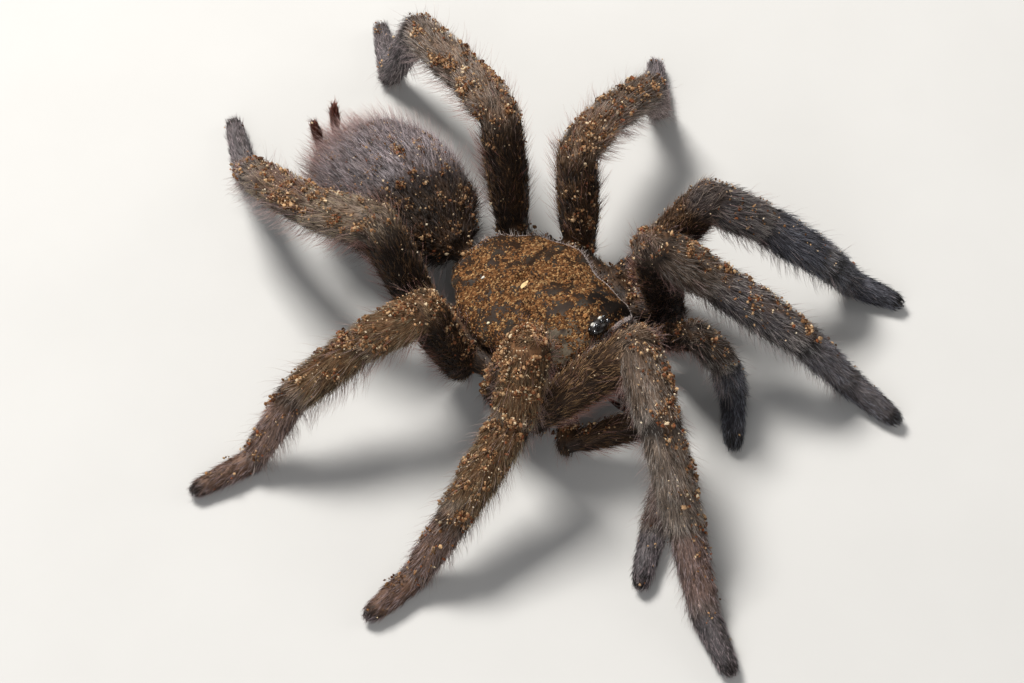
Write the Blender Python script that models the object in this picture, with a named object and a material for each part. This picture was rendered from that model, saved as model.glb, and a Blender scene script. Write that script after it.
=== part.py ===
"""A tarantula, life size, crouched on a flat floor with all eight legs and both palps down.

Axes: +Z up, head toward -Y, the animal's left toward +X.  Lengths below are millimetres and
are turned into metres when a mesh is made.  Every solid is a loft: a row of rings joined by
faces.  Limbs are chains of tubes whose joints are balls cut in two by the plane that halves the
bend, with a small gap, so that neighbours meet without touching.
"""
import math

import bmesh
import bpy
import numpy as np

GAP = 0.3            # clear space between two pieces that meet
SIDES = 10           # corners of a leg's ring
MODEL_AT = (0.80, -1.16)   # where the middle of the carapace sits, so that the whole box is centred

# ---------------------------------------------------------------- legs: sizes and pose

# femur, patella, tibia, metatarsus, tarsus (a palp has no metatarsus); the two legs of the second pair
# are not the same length, the left one being a little small, as a leg regrown at a moult is
LENGTH = {
    1: (14.2, 8.2, 10.6, 8.2, 6.4),
    "leg_r2": (13.8, 7.4, 10.6, 7.3, 5.9),
    "leg_l2": (14.3, 6.9, 8.8, 6.8, 5.4),
    3: (10.9, 7.0, 8.1, 8.8, 6.5),
    4: (14.2, 7.7, 10.5, 12.0, 7.2),
    "palp": (9.8, 5.7, 6.5, 6.1),
}
# half thickness at each joint from the coxa outward: coxa, trochanter, knee, then on to the tip
HALF_THICK = {
    1: (1.25, 1.95, 2.30, 2.25, 2.00, 1.65, 1.25),
    2: (1.25, 1.90, 2.25, 2.20, 1.95, 1.60, 1.25),
    3: (1.25, 1.95, 2.20, 2.10, 1.90, 1.50, 1.20),
    4: (1.25, 1.95, 2.25, 2.20, 1.95, 1.50, 1.20),
    "palp": (1.05, 1.25, 1.60, 1.65, 1.50, 1.20),
}
SWELL = {"femur": 0.32, "patella": 0.12, "tibia": 0.12, "metatarsus": 0.02, "tarsus": 0.06}
SEGMENTS = ("femur", "patella", "tibia", "metatarsus", "tarsus")
PALP_SEGMENTS = ("femur", "patella", "tibia", "tarsus")

COXA_Z = 4.0         # height of the coxae and of each limb's first joint
HEEL_SINK = 0.12     # how far a tarsus is flattened by the floor at its root
TIP_SINK = 0.12

# where each coxa leaves the sternum: (forward, sideways)
COXA_ROOT = {1: (4.3, 3.9), 2: (1.6, 4.4), 3: (-1.2, 4.4), 4: (-4.0, 3.9), "palp": (6.6, 2.5)}

# side (+1 left), pair, first joint (forward, sideways, and height if not COXA_Z), headings from
# straight ahead, slopes of the segments that are clear of the floor.  The next one comes down to the
# floor and the tarsus lies on it.
LIMBS = {
    "leg_r1": (-1, 1, (8.2, 9.3, 4.6), (-48, 33, 26, 34, 27), (48, -11, -50)),
    "leg_r2": (-1, 2, (3.5, 9.2), (9, 66, 84, 97, 95), (71, -46, -28)),
    "leg_r3": (-1, 3, (-1.8, 9.4), (119, 117, 110, 105, 107), (73, -18, -28)),
    "leg_r4": (-1, 4, (-6.8, 8.0), (168, 165, 189, 212, 214), (67, -16, -25)),
    "leg_l1": (+1, 1, (9.4, 9.0), (-89, 42, 17, 37, -1), (78, -43, -23)),
    "leg_l2": (+1, 2, (4.0, 10.9), (34, 46, 33, 74, 17), (64, -37, -37)),
    "leg_l3": (+1, 3, (-2.4, 9.2), (138, 105, 95, 112, 134), (69, -17, -21)),
    "leg_l4": (+1, 4, (-8.9, 6.4), (152, 157, 164, 178, 142), (75, -19, -15)),
    "palp_r": (-1, "palp", (11.5, 8.4, 2.1), (-42, 37, 71, 62), (27, -1)),
    "palp_l": (+1, "palp", (11.4, 5.8, 4.7), (-19, 49, 61, -49), (54, -59)),
}


def heading(side, azimuth, slope):
    a, e = math.radians(azimuth), math.radians(slope)
    return np.array([side * math.sin(a) * math.cos(e), -math.cos(a) * math.cos(e), math.sin(e)])


def place(side, forward, sideways, z):
    return np.array([side * sideways, -forward, z])


def limb_joints(name):
    """Coxa root, first joint, then the far end of each segment."""
    side, pair, base, headings, slopes = LIMBS[name]
    thick = HALF_THICK[pair]
    heel, tip = thick[-2] - HEEL_SINK, thick[-1] - TIP_SINK
    points = [place(side, *COXA_ROOT[pair], COXA_Z), place(side, *(base + (COXA_Z,))[:3])]
    lengths = LENGTH[name] if name in LENGTH else LENGTH[pair]
    count = len(lengths)
    for k, (length, azimuth) in enumerate(zip(lengths, headings)):
        here = points[-1]
        if k < len(slopes):
            slope = slopes[k]
        else:
            target = tip if k == count - 1 else heel
            slope = math.degrees(math.asin(max(-1.0, min(1.0, (target - here[2]) / length))))
        points.append(here + length * heading(side, azimuth, slope))
    return points


# ---------------------------------------------------------------- rings and lofts

def unit(v):
    return v / np.linalg.norm(v)


def across(d):
    """Two directions square to d, the first one level."""
    u = np.cross(d, (0.0, 0.0, 1.0))
    u = unit(u) if np.linalg.norm(u) > 1e-6 else np.array([1.0, 0.0, 0.0])
    return u, np.cross(u, d)


def spokes(d, sides):
    """Unit directions around d, turned so that one flat of the ring faces down."""
    u, v = across(d)
    angles = (np.arange(sides) + 0.5) * 2 * math.pi / sides - math.pi / 2
    return [math.cos(a) * u + math.sin(a) * v for a in angles]


def turns(count):
    """Angles of a ring's corners."""
    return np.arange(count) * 2 * math.pi / count


def joint_rings(joint, d, plane, radius, sides):
    """Rings of a tube that ends at a ball cut by a plane: cut edge first, then back along the tube.
    d points out of the tube through the joint, and plane is the cut's normal on the same side."""
    centre = joint - plane * (GAP / 2)
    rings = [[], [], []]
    for e in spokes(d, sides):
        s = -radius * e.dot(plane) / d.dot(plane)
        if s > 0:                                   # outside of the bend: round the ball
            full = math.atan2(s, radius)
            for ring, part in zip(rings, (1.0, 0.5, 0.0)):
                b = full * part
                shrink = 1.0 - 0.06 * part
                ring.append(centre + radius * shrink * (math.cos(b) * e + math.sin(b) * d))
        else:                                       # inside of the bend: cut the tube back
            for ring, back in zip(rings, (0.0, 0.18, 0.36)):
                shrink = 0.94 if back == 0 else 1.0
                ring.append(centre + radius * shrink * e + (s * shrink - back * radius) * d)
    return [np.array(r) for r in rings]


def tube_rings(a, b, plane_a, plane_b, ra, rb, swell, stations, sides):
    """Rings from a to b, each end cut by its plane (or None for an end made by the caller)."""
    d = unit(b - a)
    length = np.linalg.norm(b - a)
    around = spokes(d, sides)
    rings = []
    if plane_a is not None:
        first = joint_rings(a, -d, -plane_a, ra, sides)
        # spokes around -d run the other way: match them to those around d
        first = [match(ring, a, d, around) for ring in first]
        rings += first
    for t in stations:
        radius = ra + (rb - ra) * t + swell * math.sin(math.pi * t)
        ring = []
        for e in around:
            shift = 0.0
            for plane, near, sign, r in ((plane_a, t * length, 1, ra), (plane_b, (1 - t) * length, -1, rb)):
                if plane is not None:
                    s = -r * e.dot(plane) / d.dot(plane)     # along d, where this edge meets the plane
                    if s * sign > 0:
                        shift += s * max(0.0, 1 - near / (2.6 * r))
            ring.append(a + d * (t * length + shift) + radius * e)
        rings.append(np.array(ring))
    if plane_b is not None:
        rings += joint_rings(b, d, plane_b, rb, sides)[::-1]
    return rings


def match(ring, origin, d, around):
    """Reorder a ring's corners so that corner k lies on spoke k."""
    flat = [p - origin - d * (p - origin).dot(d) for p in ring]
    order = [max(range(len(flat)), key=lambda i: unit(flat[i]).dot(e)) for e in around]
    return np.array([ring[i] for i in order])


def rounded_end(centre, d, radius, sides, depth, steps=(0.0, 0.55, 0.86)):
    """Rings that close a tube with a blunt dome of the given depth beyond centre."""
    rings = []
    for step in steps:
        shrink = math.sqrt(1 - step * step)
        rings.append(np.array([centre + d * (depth * step) + radius * shrink * e for e in spokes(d, sides)]))
    return rings


def make_solid(name, rings, colour, floor=False):
    """Joins rings into a closed mesh and makes it an object with a material of its own."""
    rings = [np.array(r, dtype=float) for r in rings]
    sides = len(rings[0])
    points = np.concatenate(rings)
    if floor:
        points[:, 2] = np.maximum(points[:, 2], 0.0)
    faces = []
    for k in range(len(rings) - 1):
        for i in range(sides):
            j = (i + 1) % sides
            p, q = k * sides, (k + 1) * sides
            faces += [(p + i, p + j, q + j), (p + i, q + j, q + i)]
    last = (len(rings) - 1) * sides
    ends = [points[:sides].mean(axis=0), points[last:].mean(axis=0)]
    if floor:
        for end, ring in zip(ends, (points[:sides], points[last:])):
            end[2] = max(end[2], 0.0)
    points = np.concatenate([points, np.array(ends)])
    for i in range(sides):
        j = (i + 1) % sides
        faces.append((last + sides, j, i))
        faces.append((last + sides + 1, last + i, last + j))
    points = (points + np.array([MODEL_AT[0], MODEL_AT[1], 0.0])) * 0.001
    mesh = bpy.data.meshes.new(name)
    mesh.from_pydata([tuple(p) for p in points], [], faces)
    bm = bmesh.new()
    bm.from_mesh(mesh)
    bmesh.ops.recalc_face_normals(bm, faces=bm.faces)
    bm.to_mesh(mesh)
    bm.free()
    mesh.update()
    thing = bpy.data.objects.new(name, mesh)
    bpy.context.scene.collection.objects.link(thing)
    material = bpy.data.materials.new(name + "_material")
    material.use_nodes = True
    shader = material.node_tree.nodes["Principled BSDF"]
    shader.inputs["Base Color"].default_value = (*colour, 1.0)
    shader.inputs["Roughness"].default_value = 0.75
    mesh.materials.append(material)
    return thing


# ---------------------------------------------------------------- colours

HAIR_BROWN = (0.060, 0.045, 0.036)
HAIR_GREY = (0.105, 0.098, 0.105)
PLATE = (0.085, 0.068, 0.055)
ABDOMEN_GREY = (0.090, 0.080, 0.088)
NEAR_BLACK = (0.015, 0.012, 0.012)
RED_BROWN = (0.090, 0.040, 0.035)


# ---------------------------------------------------------------- limbs

def build_limb(name):
    pair = LIMBS[name][1]
    names = SEGMENTS if pair != "palp" else PALP_SEGMENTS
    points = limb_joints(name)
    thick = HALF_THICK[pair]
    directions = [unit(b - a) for a, b in zip(points, points[1:])]
    planes = [None] + [unit(p + q) for p, q in zip(directions, directions[1:])] + [None]
    for k, part in enumerate(names):
        a, b, d = points[k + 1], points[k + 2], directions[k + 1]
        ra, rb = thick[k + 1], thick[k + 2]
        last = k == len(names) - 1
        swell = SWELL[part] * (1.0 if pair != "palp" else 0.6)
        if part == "femur":
            # the coxa and trochanter run level from the sternum, then the femur turns up
            root = points[0]
            level = directions[0]
            bend = planes[1]
            around = spokes(level, SIDES)
            start = []
            for step, size in ((0.0, 0.72), (0.45, 1.0)):
                centre = root + level * step * thick[0] * 0.5
                start.append(np.array([centre + thick[0] * size * e for e in around]))
            middle = root + (a - root) * 0.62
            start.append(np.array([middle + 0.52 * (thick[0] + ra) * e for e in around]))
            # one ring lies in the plane of the bend
            turn = []
            for e in around:
                s = -ra * e.dot(bend) / level.dot(bend)
                full = math.atan2(abs(s), ra)
                if s > 0:
                    turn.append(a + ra * (math.cos(full) * e + math.sin(full) * level))
                else:
                    turn.append(a + ra * e + s * level)
            corners = [unit(t - a - d * (t - a).dot(d)) for t in turn]
            rings = start + [np.array(turn)]
            for ring in tube_rings(a, b, None, planes[k + 2], ra, rb, swell, (0.28, 0.5, 0.74), SIDES):
                rings.append(match(ring, a + d * (ring.mean(axis=0) - a).dot(d), d, corners))
        elif last:
            rings = tube_rings(a, b, planes[k + 1], None, ra, rb, swell, (0.30, 0.68), SIDES)
            rings += rounded_end(b - d * rb * 0.9, d, rb, SIDES, rb * 0.9)
        else:
            stations = (0.42,) if part == "patella" else (0.30, 0.64)
            rings = tube_rings(a, b, planes[k + 1], planes[k + 2], ra, rb, swell, stations, SIDES)
        colour = HAIR_BROWN if part in ("femur", "patella") else HAIR_GREY
        make_solid(name + "_" + part, rings, colour, floor=part in ("tarsus", "metatarsus"))


# ---------------------------------------------------------------- body

def smooth(t):
    return t * t * (3 - 2 * t)


def profile(t, knots):
    """Smooth curve through (t, value) knots."""
    for (t0, v0), (t1, v1) in zip(knots, knots[1:]):
        if t <= t1:
            return v0 + (v1 - v0) * smooth(max(0.0, (t - t0) / (t1 - t0)))
    return knots[-1][1]


CARAPACE_LENGTH, CARAPACE_FRONT = 17.8, -9.0
CARAPACE_HALF_WIDTH = ((0.0, 4.4), (0.10, 5.1), (0.30, 5.8), (0.55, 7.3), (0.76, 6.2),
                       (0.92, 4.1), (1.0, 2.6))
CARAPACE_TOP = ((0.0, 8.9), (0.08, 9.7), (0.20, 10.0), (0.45, 9.3), (0.62, 8.7), (0.85, 7.7), (1.0, 6.7))
CARAPACE_MARGIN_Z = 6.0
CARAPACE_EDGE = 0.35     # thickness of the margin
CARAPACE_STATIONS = (0.0, 0.03, 0.08, 0.15, 0.24, 0.33, 0.42, 0.50, 0.58, 0.66, 0.74, 0.82, 0.89, 0.95, 1.0)
CARAPACE_ARC = 12        # faces across the upper side


def build_carapace():
    rings = []
    low = CARAPACE_MARGIN_Z + CARAPACE_EDGE
    for t in CARAPACE_STATIONS:
        y = CARAPACE_FRONT + CARAPACE_LENGTH * t
        w = profile(t, CARAPACE_HALF_WIDTH)
        rise = profile(t, CARAPACE_TOP) - low
        # the head is boxier than the low, broad thorax
        power = 0.72 + 0.35 * smooth(min(1.0, t / 0.5))
        ring = []
        for i in range(CARAPACE_ARC + 1):
            a = math.pi * i / CARAPACE_ARC
            ring.append((w * math.cos(a), y, low + rise * math.sin(a) ** power))
        for x in (-w * 0.96, 0.0, w * 0.96):
            ring.append((x, y, CARAPACE_MARGIN_Z))
        rings.append(np.array(ring))
    make_solid("carapace", rings, PLATE)


EYES_HALF_WIDTH, EYES_HALF_LENGTH, EYES_RISE = 1.35, 0.90, 0.62
EYES_Y, EYES_Z = -7.95, 10.06


def build_eye_tubercle():
    """A low oval dome that carries the eight eyes, near the front of the head."""
    rings = []
    for step in (0.0, 0.15, 0.55, 0.85, 1.0):
        shrink = math.sqrt(max(0.0, 1 - (step * 0.97) ** 2))
        w, half = EYES_HALF_WIDTH * shrink, EYES_HALF_LENGTH * shrink
        z = EYES_Z + EYES_RISE * step
        rings.append(np.array([(w * math.cos(a), EYES_Y + half * math.sin(a), z) for a in turns(14)]))
    make_solid("eye_tubercle", rings, NEAR_BLACK)


ABDOMEN_FRONT, ABDOMEN_LENGTH = 9.6, 18.8
ABDOMEN_HALF_WIDTH = ((0.0, 1.4), (0.05, 3.2), (0.20, 5.9), (0.42, 7.3), (0.60, 7.5), (0.80, 6.3),
                      (0.93, 3.9), (1.0, 1.8))
ABDOMEN_TOP = ((0.0, 7.2), (0.06, 8.8), (0.25, 11.0), (0.52, 12.4), (0.75, 11.8), (0.92, 9.6), (1.0, 7.8))
ABDOMEN_BOTTOM = ((0.0, 5.0), (0.08, 3.6), (0.28, 1.9), (0.55, 1.2), (0.80, 1.9), (0.94, 3.6), (1.0, 5.0))


def build_abdomen():
    rings = []
    for t in (0.0, 0.04, 0.10, 0.18, 0.28, 0.40, 0.52, 0.64, 0.75, 0.84, 0.91, 0.96, 1.0):
        y = ABDOMEN_FRONT + ABDOMEN_LENGTH * t
        w, top, bottom = (profile(t, k) for k in (ABDOMEN_HALF_WIDTH, ABDOMEN_TOP, ABDOMEN_BOTTOM))
        mid, half = (top + bottom) / 2, (top - bottom) / 2
        rings.append(np.array([(w * math.cos(a), y, mid + half * math.sin(a)) for a in turns(18)]))
    make_solid("abdomen", rings, ABDOMEN_GREY)


STERNUM_HALF_WIDTH, STERNUM_HALF_LENGTH, STERNUM_Y = 3.2, 5.6, 0.4


def build_sternum():
    """The underside of the front body, between the coxae."""
    rings = []
    for z, size in ((2.0, 0.74), (2.5, 0.95), (4.0, 1.0), (5.2, 0.95), (5.65, 0.85)):
        w, half = STERNUM_HALF_WIDTH * size, STERNUM_HALF_LENGTH * size
        rings.append(np.array([(w * math.cos(a), STERNUM_Y + half * math.sin(a), z) for a in turns(14)]))
    make_solid("sternum", rings, NEAR_BLACK)


def path_tube(name, points, radii, colour, sides=10, flat=1.0):
    """A tapering rod along a few points, with blunt ends."""
    points = [np.array(p, dtype=float) for p in points]
    rings = []
    for k, (p, r) in enumerate(zip(points, radii)):
        d = unit(points[min(k + 1, len(points) - 1)] - points[max(k - 1, 0)])
        u, v = across(d)
        ring = np.array([p + r * (flat * math.cos(a) * u + math.sin(a) * v) for a in turns(sides)])
        if k == 0:
            rings.append(p + (ring - p) * 0.6 - d * r * 0.25)
        rings.append(ring)
        if k == len(points) - 1:
            rings.append(p + (ring - p) * 0.6 + d * r * 0.35)
    make_solid(name, rings, colour)


def build_chelicera(side, tag):
    """The stout base of a jaw, bent down at the front, and the fang folded back beneath it."""
    x = side * 1.5       # from the middle of the head to the middle of each jaw
    path_tube("chelicera_" + tag, ((x, -9.9, 7.3), (x, -11.4, 7.1), (x, -12.8, 6.1), (x, -13.6, 4.9)),
              (1.70, 1.90, 1.70, 1.25), HAIR_BROWN, sides=12, flat=0.74)
    path_tube("fang_" + tag, ((x, -13.6, 3.0), (x, -13.0, 2.2), (x, -12.0, 1.7), (x, -10.8, 1.5)),
              (0.60, 0.52, 0.42, 0.30), NEAR_BLACK, sides=8)


def build_spinneret(side, tag):
    """A long spinneret, held up behind the abdomen; both lean a little to the left."""
    root = (side * 1.20 + 0.55, 29.05, 6.9)
    middle = (side * 1.30 + 0.60, 29.2, 8.8)
    tip = (side * 1.50 + 0.55, 29.3, 10.6)
    path_tube("spinneret_" + tag, (root, middle, tip), (0.50, 0.62, 0.50), RED_BROWN, sides=8)


for stale in list(bpy.data.objects):
    bpy.data.objects.remove(stale, do_unlink=True)

for limb in LIMBS:
    build_limb(limb)
build_carapace()
build_eye_tubercle()
build_abdomen()
build_sternum()
for side, tag in ((1, "l"), (-1, "r")):
    build_chelicera(side, tag)
    build_spinneret(side, tag)
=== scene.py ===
"""A life-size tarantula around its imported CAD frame: one skin, a shell plate, eyes, fangs, claws,
a coat of solid hairs and the soil that clings to it.

Work is done in millimetres (+Z up, head toward -Y, the animal's left toward +X) and turned into
metres when a mesh is made.
"""
import math

import bpy
import numpy as np
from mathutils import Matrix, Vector


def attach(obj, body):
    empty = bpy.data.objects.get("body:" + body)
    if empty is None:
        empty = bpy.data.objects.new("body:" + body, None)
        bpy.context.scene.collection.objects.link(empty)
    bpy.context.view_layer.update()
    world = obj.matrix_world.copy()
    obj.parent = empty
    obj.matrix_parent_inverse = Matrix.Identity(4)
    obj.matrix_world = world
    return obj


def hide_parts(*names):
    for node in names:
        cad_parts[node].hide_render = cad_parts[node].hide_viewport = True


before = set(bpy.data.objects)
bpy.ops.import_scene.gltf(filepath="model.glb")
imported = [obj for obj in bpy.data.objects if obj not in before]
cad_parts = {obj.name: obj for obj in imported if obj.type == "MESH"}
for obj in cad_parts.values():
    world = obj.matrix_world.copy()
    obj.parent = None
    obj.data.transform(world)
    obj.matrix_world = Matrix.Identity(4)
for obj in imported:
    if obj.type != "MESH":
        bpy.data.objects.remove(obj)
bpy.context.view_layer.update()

MM = 0.001
SHIFT = np.array([0.80, -1.16, 0.0])      # where the middle of the carapace sits in the row frame

# ------------------------------------------------------------------ the pose, as in the CAD source

# Most of the lengths, first joints, headings and slopes below are rounded results of a least-squares
# fit made outside this script, and not sizes chosen by hand.

# femur, patella, tibia, metatarsus, tarsus (a palp has no metatarsus)
LENGTH = {
    1: (14.2, 8.2, 10.6, 8.2, 6.4),
    "leg_r2": (13.8, 7.4, 10.6, 7.3, 5.9),
    "leg_l2": (14.3, 6.9, 8.8, 6.8, 5.4),
    3: (10.9, 7.0, 8.1, 8.8, 6.5),
    4: (14.2, 7.7, 10.5, 12.0, 7.2),
    "palp": (9.8, 5.7, 6.5, 6.1),
}
# half thickness at each joint, from the coxa outward
HALF_THICK = {
    1: (1.25, 1.95, 2.30, 2.25, 2.00, 1.65, 1.25),
    2: (1.25, 1.90, 2.25, 2.20, 1.95, 1.60, 1.25),
    3: (1.25, 1.95, 2.20, 2.10, 1.90, 1.50, 1.20),
    4: (1.25, 1.95, 2.25, 2.20, 1.95, 1.50, 1.20),
    "palp": (1.05, 1.25, 1.60, 1.65, 1.50, 1.20),
}
COXA_Z = 4.0
FLOOR_SINK = 0.12         # how far the floor flattens the foot
COXA_ROOT = {1: (4.3, 3.9), 2: (1.6, 4.4), 3: (-1.2, 4.4), 4: (-4.0, 3.9), "palp": (6.6, 2.5)}
# side (+1 left), pair, first joint (forward, sideways, and height if not COXA_Z), headings from straight
# ahead, slopes of the segments that are clear of the floor
LIMBS = {
    "leg_r1": (-1, 1, (8.2, 9.3, 4.6), (-48, 33, 26, 34, 27), (48, -11, -50)),
    "leg_r2": (-1, 2, (3.5, 9.2), (9, 66, 84, 97, 95), (71, -46, -28)),
    "leg_r3": (-1, 3, (-1.8, 9.4), (119, 117, 110, 105, 107), (73, -18, -28)),
    "leg_r4": (-1, 4, (-6.8, 8.0), (168, 165, 189, 212, 214), (67, -16, -25)),
    "leg_l1": (+1, 1, (9.4, 9.0), (-89, 42, 17, 37, -1), (78, -43, -23)),
    "leg_l2": (+1, 2, (4.0, 10.9), (34, 46, 33, 74, 17), (64, -37, -37)),
    "leg_l3": (+1, 3, (-2.4, 9.2), (138, 105, 95, 112, 134), (69, -17, -21)),
    "leg_l4": (+1, 4, (-8.9, 6.4), (152, 157, 164, 178, 142), (75, -19, -15)),
    "palp_r": (-1, "palp", (11.5, 8.4, 2.1), (-42, 37, 71, 62), (27, -1)),
    "palp_l": (+1, "palp", (11.4, 5.8, 4.7), (-19, 49, 61, -49), (54, -59)),
}
COXA, FEMUR, PATELLA, TIBIA, METATARSUS, TARSUS = range(6)
LEG_SEGMENTS = (COXA, FEMUR, PATELLA, TIBIA, METATARSUS, TARSUS)
PALP_SEGMENTS = (COXA, FEMUR, PATELLA, TIBIA, TARSUS)

COAT_DEPTH = {COXA: 0.30, FEMUR: 0.45, PATELLA: 0.45, TIBIA: 0.45, METATARSUS: 0.42, TARSUS: 0.36}
SWELL = {COXA: 0.0, FEMUR: 0.34, PATELLA: 0.16, TIBIA: 0.14, METATARSUS: 0.04, TARSUS: 0.08}

CARAPACE_FRONT, CARAPACE_LENGTH = -9.0, 17.8
CARAPACE_HALF_WIDTH = ((0.0, 4.4), (0.10, 5.1), (0.30, 5.8), (0.55, 7.3), (0.76, 6.2), (0.92, 4.1),
                       (1.0, 2.6))
CARAPACE_TOP = ((0.0, 8.9), (0.08, 9.7), (0.20, 10.0), (0.45, 9.3), (0.62, 8.7), (0.85, 7.7), (1.0, 6.7))
CARAPACE_MARGIN_Z = 6.0
FOVEA = (0.0, 1.9)        # the pit in the shell plate
EYES_AT = (0.0, -7.95, 9.8)

ABDOMEN_FRONT, ABDOMEN_LENGTH = 9.6, 18.8
ABDOMEN_HALF_WIDTH = ((0.0, 1.4), (0.05, 3.2), (0.20, 5.9), (0.42, 7.3), (0.60, 7.5), (0.80, 6.3),
                      (0.93, 3.9), (1.0, 1.8))
ABDOMEN_TOP = ((0.0, 7.2), (0.06, 8.8), (0.25, 11.0), (0.52, 12.4), (0.75, 11.8), (0.92, 9.6), (1.0, 7.8))
ABDOMEN_BOTTOM = ((0.0, 5.0), (0.08, 3.6), (0.28, 1.9), (0.55, 1.2), (0.80, 1.9), (0.94, 3.6), (1.0, 5.0))
ABDOMEN_COAT = 0.55
ABDOMEN_ROUND = 6.0       # mm of girth for each radian round the abdomen
NO_JOINT = 9.0            # mm left to a joint, where none is near


def unit(v):
    v = np.asarray(v, float)
    return v / np.maximum(np.linalg.norm(v, axis=-1, keepdims=True), 1e-12)


def round_angles(sides):
    return np.arange(sides) * 2 * math.pi / sides


def smooth(t):
    t = np.clip(t, 0.0, 1.0)
    return t * t * (3 - 2 * t)


def profile(t, knots):
    """Smooth curve through (t, value) knots, for one number or an array."""
    t = np.asarray(t, float)
    value = np.full(t.shape, knots[0][1], float)
    for (t0, v0), (t1, v1) in zip(knots, knots[1:]):
        value = np.where(t >= t0, v0 + (v1 - v0) * smooth((t - t0) / (t1 - t0)), value)
    return value


def heading(side, azimuth, slope):
    a, e = math.radians(azimuth), math.radians(slope)
    return np.array([side * math.sin(a) * math.cos(e), -math.cos(a) * math.cos(e), math.sin(e)])


def limb_joints(name):
    """Coxa root, first joint, then the far end of each segment."""
    side, pair, base, headings, slopes = LIMBS[name]
    thick = HALF_THICK[pair]
    root = COXA_ROOT[pair]
    height = base[2] if len(base) > 2 else COXA_Z
    points = [np.array([side * root[1], -root[0], COXA_Z]), np.array([side * base[1], -base[0], height])]
    lengths = LENGTH.get(name, LENGTH.get(pair))
    count = len(lengths)
    for k, (length, azimuth) in enumerate(zip(lengths, headings)):
        here = points[-1]
        if k < len(slopes):
            slope = slopes[k]
        else:
            target = (thick[-1] if k == count - 1 else thick[-2]) - FLOOR_SINK
            slope = math.degrees(math.asin(max(-1.0, min(1.0, (target - here[2]) / length))))
        points.append(here + length * heading(side, azimuth, slope))
    return points


# ------------------------------------------------------------------ bones under the skin

LIMB_NAMES = list(LIMBS)
ABDOMEN, CORE, JAWS, SPINNERETS = range(len(LIMB_NAMES), len(LIMB_NAMES) + 4)


class Bone:
    """A straight stretch with round ends: a, b in mm, half thickness at both, which part and segment."""

    def __init__(self, a, b, ra, rb, swell, part, segment, start=0.0, total=1.0):
        self.a, self.b = np.array(a, float), np.array(b, float)
        self.ra, self.rb, self.swell = ra, rb, swell
        self.part, self.segment = part, segment
        self.start, self.total = start, total          # place along the whole limb
        self.length = float(np.linalg.norm(self.b - self.a))
        self.d = (self.b - self.a) / self.length

    def radius(self, t):
        t = np.asarray(t, float)
        return self.ra + (self.rb - self.ra) * t + self.swell * np.sin(np.pi * np.clip(t, 0, 1))


def limb_bones():
    bones = []
    for part, name in enumerate(LIMB_NAMES):
        pair = LIMBS[name][1]
        points, thick = limb_joints(name), HALF_THICK[pair]
        segments = PALP_SEGMENTS if pair == "palp" else LEG_SEGMENTS
        scale = 0.6 if pair == "palp" else 1.0
        lengths = [float(np.linalg.norm(b - a)) for a, b in zip(points, points[1:])]
        done = 0.0
        for k, segment in enumerate(segments):
            depth = COAT_DEPTH[segment] * (0.8 if pair == "palp" else 1.0)
            a, b = points[k], points[k + 1]
            ra, rb = thick[k] - depth, thick[k + 1] - depth
            if k == len(segments) - 1:
                b = b - unit(b - a) * rb             # the round tip ends where the CAD's does
            bones.append(Bone(a, b, ra, rb, SWELL[segment] * scale, part, segment, done, sum(lengths)))
            done += lengths[k]
    return bones


def chain(points, radii, part, segment):
    lengths = [math.dist(a, b) for a, b in zip(points, points[1:])]
    bones, done = [], 0.0
    for a, b, ra, rb, length in zip(points, points[1:], radii, radii[1:], lengths):
        bones.append(Bone(a, b, ra, rb, 0.0, part, segment, done, sum(lengths)))
        done += length
    return bones


def body_bones():
    bones = [Bone((0, 7.4, 5.0), (0, 11.5, 5.8), 1.3, 1.2, 0.0, CORE, COXA)]       # the waist
    for side in (1, -1):
        # soft tissue between the coxae
        bones += chain(((side * 7.0, -6.2, 4.1), (side * 7.6, -2.6, 4.1), (side * 7.6, 1.6, 4.1),
                        (side * 6.0, 5.6, 4.1)), (1.2, 1.3, 1.3, 1.2), CORE, COXA)
        x = side * 1.5
        bones += chain(((x, -8.0, 7.4), (x, -11.4, 7.1), (x, -12.8, 6.1), (x, -13.6, 4.6)),
                       (1.25, 1.45, 1.25, 0.95), JAWS, FEMUR)
        bones += chain(((side * 1.0 + 0.30, 27.4, 6.0), (side * 1.20 + 0.55, 29.05, 6.9),
                        (side * 1.30 + 0.60, 29.2, 8.8), (side * 1.50 + 0.55, 29.3, 10.4)),
                       (0.80, 0.44, 0.58, 0.44), SPINNERETS, TARSUS)
    return bones


BONES = limb_bones() + body_bones()


# ------------------------------------------------------------------ meshes from arrays

def new_mesh(name, points, faces, smooth_shade=True):
    """A mesh object in the row frame from millimetre points. faces is an (n, k) array or a list."""
    mesh = bpy.data.meshes.new(name)
    points = (np.asarray(points, float) + SHIFT) * MM
    faces = np.asarray(faces, np.int32)
    n, k = faces.shape
    mesh.vertices.add(len(points))
    mesh.vertices.foreach_set("co", points.astype(np.float32).ravel())
    mesh.loops.add(n * k)
    mesh.loops.foreach_set("vertex_index", faces.ravel())
    mesh.polygons.add(n)
    mesh.polygons.foreach_set("loop_start", np.arange(0, n * k, k, dtype=np.int32))
    mesh.polygons.foreach_set("use_smooth", np.full(n, smooth_shade))
    mesh.update(calc_edges=True)
    mesh.validate()
    thing = bpy.data.objects.new(name, mesh)
    bpy.context.scene.collection.objects.link(thing)
    return thing


def paint(mesh, name, colours):
    """One colour per vertex, linear."""
    layer = mesh.color_attributes.new(name, "FLOAT_COLOR", "POINT")
    rgba = np.ones((len(mesh.vertices), 4), np.float32)
    rgba[:, :3] = colours
    layer.data.foreach_set("color", rgba.ravel())


def grade(mesh, name, values):
    layer = mesh.attributes.new(name, "FLOAT", "POINT")
    layer.data.foreach_set("value", np.asarray(values, np.float32))


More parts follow.
